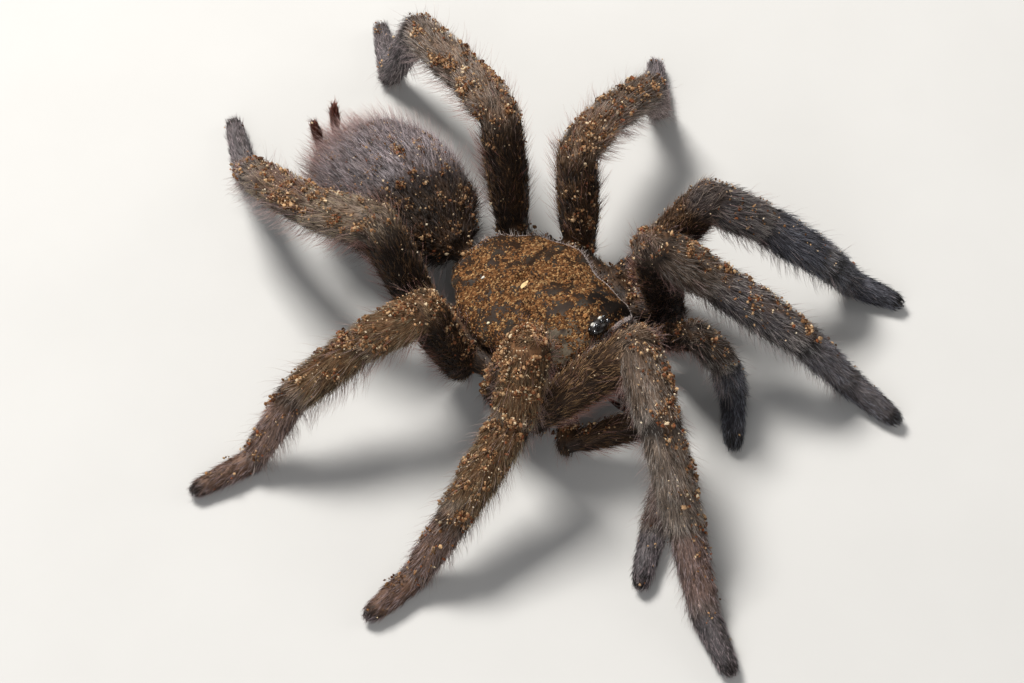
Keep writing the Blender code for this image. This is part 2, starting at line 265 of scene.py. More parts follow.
def ring_frame(d):
    """Two directions square to each d."""
    other = np.where(np.abs(d[..., 2:3]) > 0.9, np.array([1.0, 0.0, 0.0]), np.array([0.0, 0.0, 1.0]))
    u = unit(np.cross(d, other))
    return u, np.cross(d, u)


def loft(rings):
    """Closed surface through rings with equal counts: points and triangles."""
    rings = [np.asarray(r, float) for r in rings]
    sides = len(rings[0])
    points = np.concatenate(rings + [rings[0].mean(0)[None], rings[-1].mean(0)[None]])
    i = np.arange(sides)
    j = (i + 1) % sides
    faces = []
    for k in range(len(rings) - 1):
        p, q = k * sides, (k + 1) * sides
        faces += [np.stack([p + i, p + j, q + j], 1), np.stack([p + i, q + j, q + i], 1)]
    last = (len(rings) - 1) * sides
    faces.append(np.stack([np.full(sides, last + sides), j, i], 1))
    faces.append(np.stack([np.full(sides, last + sides + 1), last + i, last + j], 1))
    return points, np.concatenate(faces)


def capsule(bone, sides=28, caps=6):
    """A bone's surface, with half balls for ends."""
    u, v = ring_frame(bone.d[None])
    angle = round_angles(sides)
    around = np.cos(angle)[:, None] * u + np.sin(angle)[:, None] * v
    rings = []
    for k in range(caps):
        b = math.pi / 2 * (1 - (k + 0.35) / caps)
        rings.append(bone.a - bone.d * bone.ra * math.sin(b) + around * bone.ra * math.cos(b))
    for t in np.linspace(0, 1, 9):
        rings.append(bone.a + bone.d * bone.length * t + around * bone.radius(t))
    for k in range(caps):
        b = math.pi / 2 * (k + 0.65) / caps
        rings.append(bone.b + bone.d * bone.rb * math.sin(b) + around * bone.rb * math.cos(b))
    return loft(rings)


def merged(shapes):
    points, faces, at = [], [], 0
    for p, f in shapes:
        points.append(p)
        faces.append(f + at)
        at += len(p)
    return np.concatenate(points), np.concatenate(faces)


# ------------------------------------------------------------------ skin

ABDOMEN_SIDES, CORE_SIDES = 56, 48
VOXEL_SIZE = 0.31         # mm
EASING, EASING_ROUNDS = 0.5, 3


def abdomen_section(t):
    """Half width, middle height and half height of the abdomen's skin."""
    w, top, bottom = (profile(t, k) for k in (ABDOMEN_HALF_WIDTH, ABDOMEN_TOP, ABDOMEN_BOTTOM))
    return w - ABDOMEN_COAT, (top + bottom) / 2, (top - bottom) / 2 - ABDOMEN_COAT


def abdomen_shape():
    rings = []
    a = round_angles(ABDOMEN_SIDES)
    for t in np.concatenate([[0.012], np.linspace(0.04, 0.96, 30), [0.985]]):
        w, mid, half = abdomen_section(t)
        y = np.full(ABDOMEN_SIDES, ABDOMEN_FRONT + ABDOMEN_LENGTH * t)
        rings.append(np.stack([w * np.cos(a), y, mid + half * np.sin(a)], 1))
    return loft(rings)


def core_shape():
    """The front body under the shell plate: sternum below, soft sides between the coxae."""
    rings = []
    a = round_angles(CORE_SIDES)
    for z, rx, ry in ((2.25, 2.2, 4.3), (2.45, 2.8, 5.1), (3.2, 3.4, 5.7), (4.2, 5.2, 6.5), (5.2, 6.1, 7.3),
                      (6.0, 6.3, 7.9), (6.6, 4.6, 7.0)):
        rings.append(np.stack([rx * np.cos(a), 0.2 + ry * np.sin(a), np.full(CORE_SIDES, z)], 1))
    return loft(rings)


def make_skin():
    shapes = [capsule(b) for b in BONES] + [abdomen_shape(), core_shape()]
    points, faces = merged(shapes)
    skin = new_mesh("skin", points / MM - SHIFT, faces)      # in millimetres while it is remeshed
    remesh = skin.modifiers.new("remesh", "REMESH")
    remesh.mode, remesh.voxel_size = "VOXEL", VOXEL_SIZE
    ease = skin.modifiers.new("ease", "SMOOTH")
    ease.factor, ease.iterations = EASING, EASING_ROUNDS
    graph = bpy.context.evaluated_depsgraph_get()
    made = bpy.data.meshes.new_from_object(skin.evaluated_get(graph))
    skin.modifiers.clear()
    old, skin.data = skin.data, made
    bpy.data.meshes.remove(old)
    made.name = "skin"
    made.polygons.foreach_set("use_smooth", np.ones(len(made.polygons), bool))
    return skin


def mesh_arrays(mesh):
    """Points, vertex normals and triangles."""
    points = np.empty(len(mesh.vertices) * 3, np.float32)
    mesh.vertices.foreach_get("co", points)
    normals = np.empty(len(mesh.vertices) * 3, np.float32)
    mesh.vertex_normals.foreach_get("vector", normals)
    mesh.calc_loop_triangles()
    faces = np.empty(len(mesh.loop_triangles) * 3, np.int32)
    mesh.loop_triangles.foreach_get("vertices", faces)
    return points.reshape(-1, 3).astype(float), normals.reshape(-1, 3).astype(float), faces.reshape(-1, 3)


class Places:
    """Where points lie on the animal: part, segment, share of the segment, lie of the hair, unwrap."""

    def __init__(self, points, normals):
        n = len(points)
        self.points, self.normals = points, normals
        best = np.full(n, 1e9)
        self.part = np.full(n, CORE)
        self.segment = np.zeros(n, int)
        self.t = np.zeros(n)
        self.v = np.zeros(n)
        self.girth, self.along = np.zeros(n), np.zeros(n)      # mm round the bone and along the limb
        self.left = np.full(n, NO_JOINT)                       # mm to the end of the segment
        self.lie = np.tile(np.array([0.0, 1.0, 0.0]), (n, 1))
        turn = np.zeros(n)
        for bone in BONES:
            s = (points - bone.a) @ bone.d / bone.length
            t = np.clip(s, 0, 1)
            away = points - bone.a - t[:, None] * bone.length * bone.d
            gap = np.linalg.norm(away, axis=1) - bone.radius(t)
            near = gap < best
            best[near] = gap[near]
            self.part[near], self.segment[near], self.t[near] = bone.part, bone.segment, t[near]
            self.v[near] = (bone.start + t[near] * bone.length) / bone.total
            self.lie[near] = bone.d
            u, v = ring_frame(bone.d[None])
            turn[near] = np.arctan2(away[near] @ v[0], away[near] @ u[0])
            self.girth[near] = turn[near] * bone.radius(t[near])
            self.along[near] = bone.start + t[near] * bone.length
            jointed = bone.part < len(LIMB_NAMES) and bone.segment in (PATELLA, TIBIA, METATARSUS)
            self.left[near] = (1 - t[near]) * bone.length if jointed else NO_JOINT
        t = (points[:, 1] - ABDOMEN_FRONT) / ABDOMEN_LENGTH
        w, mid, half = abdomen_section(np.clip(t, 0.01, 0.99))
        q = np.sqrt((points[:, 0] / w) ** 2 + ((points[:, 2] - mid) / half) ** 2)
        gap = (q - 1) * np.minimum(w, half) + 20 * np.maximum(0, np.abs(t - 0.5) - 0.5)
        near = gap < best
        self.part[near], self.segment[near] = ABDOMEN, FEMUR
        self.t[near] = self.v[near] = np.clip(t, 0, 1)[near]
        self.lie[near], self.left[near] = (0.0, 1.0, 0.0), NO_JOINT
        turn[near] = np.arctan2(points[near, 2] - mid[near], points[near, 0])
        self.girth[near], self.along[near] = turn[near] * ABDOMEN_ROUND, points[near, 1]
        best[near] = gap[near]
        core = (best > 0.25) & (np.abs(points[:, 0]) < 5.6) & (np.abs(points[:, 1]) < 9)
        self.part[core], self.segment[core] = CORE, COXA
        self.u = turn / (2 * math.pi) + 0.5
        # how far each place faces up, seen across the limb
        up = np.array([0.0, 0.0, 1.0]) - self.lie * self.lie[:, 2:3]
        self.upward = np.einsum("ij,ij->i", unit(up), normals)
        self.world_up = normals[:, 2]


# ------------------------------------------------------------------ colour

def ink(red, green, blue):
    """A linear colour from display values of 0 to 255."""
    c = np.array([red, green, blue]) / 255.0
    return np.where(c <= 0.04045, c / 12.92, ((c + 0.055) / 1.055) ** 2.4)


SKIN_DARK = ink(28, 20, 15)
# near-black of the dark hairs, and of the painted shade at hair roots
DARK_HAIR_AND_SHADE = ink(42, 28, 18)
NEAR_BLACK = ink(34, 23, 15)
BLACK_BROWN = ink(60, 44, 32)
FEMUR_BLACK = ink(76, 52, 33)
DARK_BRONZE = ink(76, 54, 38)
BRONZE = ink(150, 112, 74)
PALE_BRONZE = ink(226, 180, 130)
OLIVE = ink(148, 112, 78)
WARM_GREY = ink(142, 120, 102)
SILVER = ink(170, 150, 133)
DUN = ink(162, 132, 116)
FOOT_BROWN = ink(138, 106, 88)
MAUVE = ink(144, 118, 107)
SLATE = ink(112, 106, 108)
SLATE_BLUE = ink(96, 96, 104)
PALE_SILVER = ink(208, 198, 188)
PALE_BLUE = ink(164, 166, 176)
PALE_LILAC = ink(204, 184, 186)
BLUE_GREY = ink(166, 160, 164)
GOLD_GREY = ink(196, 178, 142)
ROSE_HAIR = ink(176, 114, 98)
RED_BROWN = ink(132, 72, 56)
DUST = ink(150, 107, 71)

# hair of femur, patella, tibia, metatarsus and tarsus; a palp has no metatarsus
HAIR = {
    "leg_r1": (FEMUR_BLACK, WARM_GREY, SILVER * 1.1, MAUVE * 1.15, SLATE * 0.72),
    "leg_r2": (BLACK_BROWN, OLIVE, OLIVE, DUN, FOOT_BROWN),
    "leg_r3": (NEAR_BLACK, OLIVE, OLIVE, DUN * 1.35, FOOT_BROWN),
    "leg_r4": (NEAR_BLACK, SILVER, MAUVE, MAUVE, SLATE),
    "leg_l1": (NEAR_BLACK, WARM_GREY, SLATE * 1.15, SLATE * 1.75, SLATE * 0.90),
    "leg_l2": (DARK_BRONZE, SLATE, SLATE_BLUE * 1.15, SLATE_BLUE * 1.1, SLATE_BLUE),
    "leg_l3": (NEAR_BLACK, OLIVE, WARM_GREY, MAUVE, SLATE),
    "leg_l4": (NEAR_BLACK, WARM_GREY, WARM_GREY, SLATE, SLATE),
    "palp_r": (BLACK_BROWN, OLIVE, MAUVE, SLATE),
    "palp_l": (NEAR_BLACK, BLACK_BROWN, SLATE_BLUE, SLATE_BLUE * 0.85),
}
# the paler hairs among them
COMMON_PALE = (BRONZE, PALE_SILVER, PALE_SILVER, PALE_LILAC, PALE_LILAC)
PALE_HAIR = {name: COMMON_PALE[:len(row)] for name, row in HAIR.items()}
PALE_HAIR["leg_l2"] = (BRONZE, PALE_SILVER, PALE_BLUE, PALE_BLUE, PALE_BLUE)
PALE_HAIR["leg_l1"] = (BRONZE, PALE_SILVER, PALE_SILVER, PALE_BLUE, PALE_BLUE)
PALE_HAIR["palp_l"] = (BRONZE, PALE_SILVER, PALE_BLUE, PALE_BLUE)
for name in ("leg_r2", "leg_r3", "leg_r4"):
    PALE_HAIR[name] = (BRONZE, GOLD_GREY, GOLD_GREY, PALE_LILAC, PALE_LILAC)
PALE_HAIR["leg_r1"] = (PALE_BRONZE, PALE_SILVER, PALE_SILVER, PALE_LILAC, PALE_LILAC)
# how thickly soil lies on them, and the side it clings to
SOIL_ON = {
    "leg_r1": (0.22, 1.00, 0.60, 0.25, 0.06),
    "leg_r2": (4.20, 4.00, 1.40, 0.45, 0.15),
    "leg_r3": (0.90, 1.90, 1.10, 0.45, 0.15),
    "leg_r4": (0.40, 0.95, 1.25, 0.30, 0.08),
    "leg_l1": (0.30, 2.00, 0.90, 0.18, 0.03),
    "leg_l2": (0.20, 0.18, 0.04, 0.01, 0.0),
    "leg_l3": (0.70, 0.90, 0.70, 0.25, 0.08),
    "leg_l4": (0.45, 1.00, 0.90, 0.25, 0.08),
    "palp_r": (0.25, 0.25, 0.08, 0.06),
    "palp_l": (0.20, 0.70, 0.10, 0.03),
}
SOIL_SIDE = {"leg_r1": (0.62, -0.50, 0.60), "leg_l1": (0.05, 0.55, 0.83), "leg_r4": (0.0, 0.45, 0.90)}
# how many long hairs stand on them
BRISTLES = {
    "leg_r1": (1.7, 0.8, 0.8, 0.5, 0.1),
    "leg_r2": (0.9, 0.9, 1.5, 1.3, 0.2),
    "leg_r3": (0.9, 1.1, 1.6, 1.4, 0.3),
    "leg_r4": (1.0, 2.6, 2.2, 0.8, 0.1),
    "leg_l1": (0.5, 0.7, 1.0, 0.7, 0.1),
    "leg_l2": (0.7, 0.7, 0.8, 0.5, 0.1),
    "leg_l3": (1.7, 1.6, 1.5, 0.7, 0.1),
    "leg_l4": (1.7, 1.6, 1.5, 0.7, 0.1),
    "palp_r": (2.0, 0.9, 0.6, 0.2),
    "palp_l": (0.8, 0.6, 0.5, 0.2),
}


def by_segment(rows, coxa):
    """A table by limb and segment, as an array."""
    out = []
    for name in LIMB_NAMES:
        row = list(rows[name])
        out.append([coxa] + (row if len(row) == 5 else row[:3] + row[2:]))
    return np.array(out, float)


HAIR_AT, PALE_AT = by_segment(HAIR, NEAR_BLACK), by_segment(PALE_HAIR, BRONZE)
SOIL_AT, BRISTLES_AT = by_segment(SOIL_ON, 0.60), by_segment(BRISTLES, 0.4)
SIDE_AT = unit(np.array([SOIL_SIDE.get(name, (0.0, 0.0, 1.0)) for name in LIMB_NAMES]))


def along_limb(values, places, ease=0.16):
    """A table's value at each place, easing from one segment to the next."""
    part, segment, t = np.minimum(places.part, len(LIMB_NAMES) - 1), places.segment, places.t
    here = values[part, segment]
    after = values[part, np.minimum(segment + 1, TARSUS)]
    before = values[part, np.maximum(segment - 1, COXA)]
    a, b = 0.5 * smooth((t - 1 + ease) / ease), 0.5 * smooth((ease - t) / ease)
    if values.ndim == 3:
        a, b = a[:, None], b[:, None]
    return here + (after - here) * a + (before - here) * b


def mottle(points, size, seed):
    """Soft patches, mostly from -1 to 1, about size mm across."""
    draw = np.random.default_rng(seed)
    total = np.zeros(len(points))
    for _ in range(9):
        d = unit(draw.normal(size=3))
        total += np.sin(points @ d * (2 * math.pi / size) * draw.uniform(0.5, 1.5) + draw.uniform(0, 6.3))
    return total / 2.4


RANDOM_TABLE = np.random.default_rng(7).uniform(size=(256, 256))


def lattice(x, y, seed):
    """Smooth random values from 0 to 1 over a plane, one to each unit square."""
    xi, yi = np.floor(x).astype(int), np.floor(y).astype(int)
    fx, fy = smooth(x - xi), smooth(y - yi)

    def at(i, j):
        return RANDOM_TABLE[(xi + i + 37 * seed) % 256, (yi + j + 91 * seed) % 256]

    return (at(0, 0) * (1 - fx) + at(1, 0) * fx) * (1 - fy) + (at(0, 1) * (1 - fx) + at(1, 1) * fx) * fy


def streaks(places):
    """0 to 1: locks of darker and lighter hair, narrow across the limb and long along it."""
    offset = places.part * 9
    fine = lattice(places.girth / 0.22, places.along / 1.5 + offset, 1)
    broad = lattice(places.girth / 0.55, places.along / 2.4 + offset, 2)
    return np.clip(0.5 + 1.9 * (0.65 * fine + 0.35 * broad - 0.5), 0, 1)


def blend(a, b, share):
    share = np.clip(np.asarray(share, float), 0, 1)[..., None]
    return a * (1 - share) + b * share


def soil_share(places):
    """How much soil lies on each place, mostly 0 to 1."""
    part, t = places.part, places.t
    limb = part < len(LIMB_NAMES)
    amount = along_limb(SOIL_AT, places)
    amount = np.where(part == ABDOMEN, 0.42 - 0.22 * t, amount)
    amount = np.where(np.isin(part, [CORE, JAWS]), 0.45, amount)
    amount = np.where(part == SPINNERETS, 0.05, amount)
    side = SIDE_AT[np.minimum(part, len(LIMB_NAMES) - 1)]
    side = np.where(limb[:, None], side, np.array([0.0, 0.0, 1.0]))
    facing = smooth((np.einsum("ij,ij->i", places.normals, side) + 0.12) / 0.85)
    patches = 0.62 + 0.45 * mottle(places.points, 3.4, 11) + 0.30 * mottle(places.points, 1.3, 12)
    return np.clip(amount * facing * np.clip(patches, 0.08, 1.5), 0, 2.6)


def abdomen_sheen_share(places):
    """0 where the abdomen lies in painted shade, in front and low down, to 1 on its lilac-grey rear and top,
    which carry painted sheen; the hair's own colour also runs from dark brown to lilac-grey there.
    """
    wave = 0.5 * mottle(places.points, 5.0, 3)
    aside = -places.points[:, 0] / 7.0                    # the right flank is darker for longer
    return (smooth((places.t - 0.29 - 0.16 * aside + 0.06 * wave) / 0.26)
            * smooth((places.points[:, 2] - 5.2 - 1.4 * aside + wave) / 4.4))


def markings(places):
    """The colour of hair and skin at each place, without soil. Limbs carry painted light on their upper sides
    and painted shade beneath, and the abdomen carries painted sheen and shade.
    """
    seg, t, part = places.segment, places.t, places.part
    limb = part < len(LIMB_NAMES)
    colour = along_limb(HAIR_AT, places)
    # painted light and shade: hair lighter where the limb faces up and darker where it faces down
    colour = colour * (0.62 + 0.46 * smooth((places.upward + 0.75) / 1.4))[:, None]
    ring = np.exp(-((0.90 - t) / 0.07) ** 2) * np.array([0, 0, 1.0, 0.7, 0.5, 0])[seg] * limb
    colour = blend(colour, PALE_SILVER, 0.62 * ring * smooth(places.upward + 0.6))
    seam = (np.exp(-((1 - t) / 0.025) ** 2) + np.exp(-(t / 0.06) ** 2)) * (seg > FEMUR) * limb
    colour = colour * (1 - 0.85 * np.clip(seam, 0, 1))[:, None]
    lilac = abdomen_sheen_share(places)
    # painted shade and sheen: near-black at the abdomen's low front, pale blue-grey on its upper rear, over
    # the hair's own dark and lilac colours
    flank = blend(np.tile(BLACK_BROWN * 0.18, (len(t), 1)), BLUE_GREY, lilac)
    flank = blend(flank, ROSE_HAIR, 0.35 * smooth((t - 0.84) / 0.16) + 0.04 * lilac)
    colour = np.where((part == ABDOMEN)[:, None], flank, colour)
    colour = np.where((part == CORE)[:, None], BLACK_BROWN * 0.8, colour)
    colour = np.where((part == JAWS)[:, None], blend(BLACK_BROWN, SLATE, 0.35), colour)
    colour = np.where((part == SPINNERETS)[:, None], RED_BROWN * 0.8, colour)
    return colour * (1 + 0.12 * mottle(places.points, 2.3, 5))[:, None]


def pale_hair(places):
    """The colour of the palest hairs at each place."""
    pale = along_limb(PALE_AT, places)
    # painted shade: on the abdomen the pale hairs darken toward its low front
    dark = blend(np.tile(BRONZE * 0.34, (len(places.t), 1)), PALE_LILAC, abdomen_sheen_share(places))
    pale = np.where((places.part == ABDOMEN)[:, None], dark, pale)
    pale = np.where((places.part == SPINNERETS)[:, None], ROSE_HAIR, pale)
    return np.where(np.isin(places.part, [CORE, JAWS])[:, None], OLIVE, pale)


# ------------------------------------------------------------------ hair

def draw_places(points, normals, faces, weight, count, draw):
    """Random places on triangles, by area times weight."""
    a, b, c = (points[faces[:, k]] for k in range(3))
    area = np.linalg.norm(np.cross(b - a, c - a), axis=1) / 2
    share = np.cumsum(area * weight)
    pick = np.searchsorted(share, draw.uniform(0, share[-1], count))
    pick = np.clip(pick, 0, len(faces) - 1)
    r, s = np.sqrt(draw.uniform(size=count)), draw.uniform(size=count)
    mix = np.stack([1 - r, r * (1 - s), r * s], 1)
    corner = faces[pick]
    at = np.einsum("nk,nkj->nj", mix, points[corner])
    facing = unit(np.einsum("nk,nkj->nj", mix, normals[corner]))
    return at, facing, pick


def hair_shapes(roots, directions, length, width):
    """Tapering three-sided hairs through a list of directions, one for each stretch of equal length.
    Gives points (hair, corner, xyz), triangles of one hair, and each corner's share of the length."""
    stretches = len(directions)
    n = len(roots)
    at = roots.copy()
    points, shares = [], []
    for k, d in enumerate(directions):
        u, v = ring_frame(d)
        share = k / stretches
        radius = (width / 2 * (1 - share) ** 0.7)[:, None]
        for corner in range(3):
            a = corner * 2 * math.pi / 3 + 0.5
            points.append(at + radius * (math.cos(a) * u + math.sin(a) * v))
            shares.append(share)
        at = at + d * (length / stretches)[:, None]
    points.append(at)
    shares.append(1.0)
    faces = [(0, 2, 1)]
    for k in range(stretches - 1):
        p, q = 3 * k, 3 * k + 3
        for i in range(3):
            j = (i + 1) % 3
            faces += [(p + i, p + j, q + j), (p + i, q + j, q + i)]
    p, tip = 3 * (stretches - 1), 3 * stretches
    faces += [(p + i, p + (i + 1) % 3, tip) for i in range(3)]
    return np.stack(points, 1).reshape(n, -1, 3), np.array(faces), np.array(shares)


class Coat:
    """Hairs gathered for one piece, then made as one mesh."""

    PATCH = 0.003             # a hair's size on the unwrap
    LOWEST = 0.03             # mm over the floor

    def __init__(self):
        self.points, self.faces, self.colours, self.maps, self.count = [], [], [], [], 0

    def add(self, roots, directions, length, width, shaded_root_colour, tip_colour, u, v):
        points, faces, share = hair_shapes(roots, directions, length, width)
        n, m = points.shape[:2]
        points[..., 2] = np.maximum(points[..., 2], self.LOWEST)
        # colour runs from the root's painted shade to the tip
        mix = smooth(share * 1.15)[None, :, None]
        colours = shaded_root_colour[:, None] * (1 - mix) + tip_colour[:, None] * mix
        across = np.where(share < 1, (np.arange(m) % 3) / 2.0, 0.5)
        place = np.stack([np.clip(u, 0.002, 0.994)[:, None] + self.PATCH * across,
                          np.clip(v, 0.002, 0.994)[:, None] + self.PATCH * share[None]], 2)
        self.points.append(points.reshape(-1, 3))
        self.faces.append((faces[None] + (np.arange(n) * m)[:, None, None] + self.count).reshape(-1, 3))
        self.colours.append(colours.reshape(-1, 3))
        self.maps.append(place.reshape(-1, 2))
        self.count += n * m

    def make(self, name):
        points, faces = np.concatenate(self.points), np.concatenate(self.faces)
        piece = new_mesh(name, points, faces)
        paint(piece.data, "hue", np.concatenate(self.colours))
        layer = piece.data.uv_layers.new(name="OFBake")
        layer.data.foreach_set("uv", np.concatenate(self.maps)[faces.ravel()].astype(np.float32).ravel())
        return piece


# how far the hair of each segment stands off, coxa to tarsus, and that of the spinnerets
STANDS = np.array((0.8, 0.62, 0.95, 1.0, 0.95, 0.8))
SPINNERET_STANDS = 0.35
LOWEST_LIFT = 3           # degrees
PAST_JOINT = 0.55         # mm that short and middle hair reaches past a joint


def coat_layer(coat, skin, weight, count, draw, length, width, lifts, jitter, palette):
    """One kind of hair over the places where weight is set.
    lifts: one lift for each stretch, from the root to the tip, in degrees."""
    points, normals, faces = skin
    at, facing, pick = draw_places(points, normals, faces, weight, count, draw)
    places = Places(at, facing)
    along = unit(places.lie - facing * np.einsum("ij,ij->i", places.lie, facing)[:, None])
    side = np.cross(facing, along)
    wander = lattice(places.girth / 0.9, places.along / 1.6 + places.part * 9, 3) - 0.5
    stray = 0.55 * wander + draw.normal(0, jitter, count)
    lift_stray = draw.normal(0, 6, count) + 10 * (lattice(places.girth / 0.7, places.along / 1.1, 4) - 0.5)
    stands = np.where(places.part < len(LIMB_NAMES), STANDS[places.segment], 1.0)
    stands = np.where(places.part == SPINNERETS, SPINNERET_STANDS, stands)
    steps = []
    for lift in lifts:
        a = np.radians(np.maximum(lift * stands + lift_stray, LOWEST_LIFT))[:, None]
        steps.append(unit((along + side * stray[:, None]) * np.cos(a) + facing * np.sin(a)))
    shaded_root_colour, tip_colour = palette(places, draw)
    past = PAST_JOINT if len(lifts) < 3 else NO_JOINT
    reach = np.minimum(length(places, draw), places.left + past)
    coat.add(at - facing * 0.07, steps, reach, width * draw.uniform(0.75, 1.2, count),
             shaded_root_colour, tip_colour, places.u, places.v)


def short_palette(places, draw):
    """Short hair carries the markings, in darker and lighter locks, dusted with soil. Its roots are darker as
    painted shade, and its dark hairs are partly painted shade between the hairs.
    """
    n = len(places.t)
    base = markings(places)
    streak = streaks(places)
    light = draw.uniform(size=n) < 0.28 + 0.50 * streak
    bright = base * ((0.80 + 1.25 * streak) * draw.uniform(0.75, 1.25, n))[:, None]
    paling = 0.75 * smooth((streak - 0.30) / 0.50) * draw.uniform(size=n) ** 1.2
    bright = blend(bright, pale_hair(places), paling)
    # dark hairs: partly the coat's own dark hair, partly painted shade between the hairs
    dark = blend(base * 0.30, DARK_HAIR_AND_SHADE, 0.4) * draw.uniform(0.5, 1.1, n)[:, None]
    tip = np.where(light[:, None], bright, dark)
    dust = soil_share(places) * draw.uniform(0.1, 1.0, n)
    # painted shade: roots darker than the tips
    root = np.where(light[:, None], bright * 0.50, dark * 0.6)
    return blend(root, DUST * 0.4, 0.5 * dust), blend(tip, DUST, 0.5 * dust)


def middle_palette(places, draw):
    n = len(places.t)
    base = markings(places)
    streak = streaks(places)
    light = draw.uniform(size=n) < 0.22 + 0.42 * streak
    pale = np.where(light, draw.uniform(0.55, 1.0, n), draw.uniform(0.0, 0.25, n))
    tip = blend(base * draw.uniform(0.4, 1.3, n)[:, None], pale_hair(places), pale)
    dust = soil_share(places) * draw.uniform(size=n)
    # painted shade: near-black roots
    return blend(base * 0.25, DARK_HAIR_AND_SHADE * 0.6, 0.5), blend(tip, DUST, 0.30 * dust)


def long_palette(places, draw):
    n = len(places.t)
    rosy = smooth(1.0 - np.abs(places.v - 0.25) * 2.0)
    rosy = np.where(places.part == ABDOMEN, 0.30 + 0.65 * smooth((places.t - 0.66) / 0.3), rosy)
    tip = blend(np.tile(PALE_LILAC, (n, 1)), PALE_SILVER, draw.uniform(size=n))
    tip = blend(tip, ROSE_HAIR, rosy * draw.uniform(0.4, 1.0, n))
    shade = np.where(places.part == ABDOMEN, 0.35 + 0.65 * abdomen_sheen_share(places), 1.0)
    tip = tip * (shade * draw.uniform(0.65, 1.15, n))[:, None]
    # painted shade: roots darker than the tips
    return blend(markings(places) * 0.6, ROSE_HAIR * 0.45, 0.5 * rosy), tip


def under_fringe(places):
    """Long hairs grow mostly along the lower flanks."""
    low = 0.16 + 1.6 * np.exp(-((places.upward + 0.60) / 0.38) ** 2)
    return np.where(places.part < len(LIMB_NAMES), low * along_limb(BRISTLES_AT, places), 1.0)


def foot_share(places, share):
    """Hair gets shorter toward the foot, and to share of its length on the tarsus."""
    segments = [places.segment == COXA, places.segment == METATARSUS, places.segment == TARSUS]
    return np.select(segments, [0.8, 0.9, share], 1.0)


def limb_length(low, high, share, longer=1.0):
    """A limb's hair length in mm, drawn for each hair."""
    return lambda places, draw: draw.uniform(low, high, len(places.t)) * foot_share(places, share) * longer


def body_length(low, high):
    return lambda places, draw: draw.uniform(low, high, len(places.t))


# numbers of short, middle and long hairs
BUDGET = 1.0
LEG_HAIRS = (12500, 4600, 1500)
PALP_HAIRS = (6800, 2400, 650)
ABDOMEN_HAIRS = (17000, 5600, 4000)
UNDERBODY_HAIRS = (8000, 2400)
REAR_LONGER = 1.25        # the long hairs of the third and fourth legs


def make_coats(skin_object):
    skin = mesh_arrays(skin_object.data)
    points, normals, faces = skin
    places = Places(points[faces].mean(1), unit(normals[faces].mean(1)))
    fringe = under_fringe(places)
    made = []

    def grow(coat, draw, weight, hairs, *looks):
        coat_layer(coat, skin, weight, int(hairs * BUDGET), draw, *looks)

    for part, name in enumerate(LIMB_NAMES):
        draw, coat = np.random.default_rng(100 + part), Coat()
        here = (places.part == part).astype(float)
        short, middle, long = PALP_HAIRS if name.startswith("palp") else LEG_HAIRS
        longer = REAR_LONGER if name[-1] in "34" else 1.0
        thin = here * np.where(places.segment == COXA, 0.5, 1.0)
        grow(coat, draw, thin, short, limb_length(0.75, 1.35, 0.80), 0.074, (15,), 0.13, short_palette)
        grow(coat, draw, thin, middle, limb_length(1.1, 1.9, 0.68), 0.064, (30, 15), 0.20, middle_palette)
        grow(coat, draw, here * fringe, long, limb_length(1.5, 2.9, 0.45, longer), 0.036, (58, 46, 34), 0.26,
             long_palette)
        made.append(coat.make("coat_" + name))

    draw, coat = np.random.default_rng(201), Coat()
    here = (places.part == ABDOMEN).astype(float)
    short, middle, long = ABDOMEN_HAIRS
    rear = 0.6 + 1.6 * smooth((places.t - 0.55) / 0.3)
    grow(coat, draw, here, short, body_length(0.9, 1.5), 0.072, (20,), 0.20, short_palette)
    grow(coat, draw, here, middle, body_length(1.3, 2.2), 0.054, (38, 24), 0.28, middle_palette)
    grow(coat, draw, here * rear, long, body_length(1.8, 3.4), 0.036, (66, 54, 44), 0.30, long_palette)
    made.append(coat.make("coat_abdomen"))

    coat = Coat()
    here = np.isin(places.part, [CORE, JAWS, SPINNERETS]).astype(float)
    short, middle = UNDERBODY_HAIRS
    dense = here * np.where(places.part == SPINNERETS, 3.0, 1.0)
    grow(coat, draw, here, short, body_length(0.5, 0.9), 0.07, (28,), 0.25, short_palette)
    grow(coat, draw, dense, middle, body_length(0.8, 1.5), 0.05, (48, 30), 0.3, middle_palette)
    made.append(coat.make("coat_underbody"))
    return made, skin, places


# ------------------------------------------------------------------ shell plate, eyes, fangs, claws

PIT_DEPTH = 0.75
# grooves that run out from the pit: heading and half width in degrees, depth in mm
GROOVES = ((33, 5.5, 0.42), (68, 5, 0.22), (100, 5, 0.24), (132, 5.5, 0.22), (163, 5, 0.12))


def carapace_height(x, y):
    """Height of the shell plate's upper face, with its pit, grooves and raised head."""
    t = (y - CARAPACE_FRONT) / CARAPACE_LENGTH
    w, top = profile(t, CARAPACE_HALF_WIDTH), profile(t, CARAPACE_TOP)
    q = np.clip(np.abs(x) / w, 0, 1)
    power = 0.72 + 0.35 * smooth(np.minimum(1.0, t / 0.5))
    z = CARAPACE_MARGIN_Z + 0.35 + (top - CARAPACE_MARGIN_Z - 0.35) * np.sqrt(1 - q * q) ** power
    inner = smooth((1 - q) / 0.25)
    dx, dy = x - FOVEA[0], y - FOVEA[1]
    z = z - PIT_DEPTH * np.exp(-(dx / 1.0) ** 2 - ((dy + 0.18 * dx * dx) / 0.38) ** 2)
    angle = np.degrees(np.arctan2(np.abs(dx), -dy))            # 0 ahead, 180 behind
    far = np.hypot(dx, dy)
    reach = smooth((far - 0.7) / 1.2)
    for centre, width, depth in GROOVES:
        away = (angle - centre) / (width * (1 + 2 / (far + 0.5)))
        z = z - depth * inner * reach * np.exp(-away ** 2)
    return z


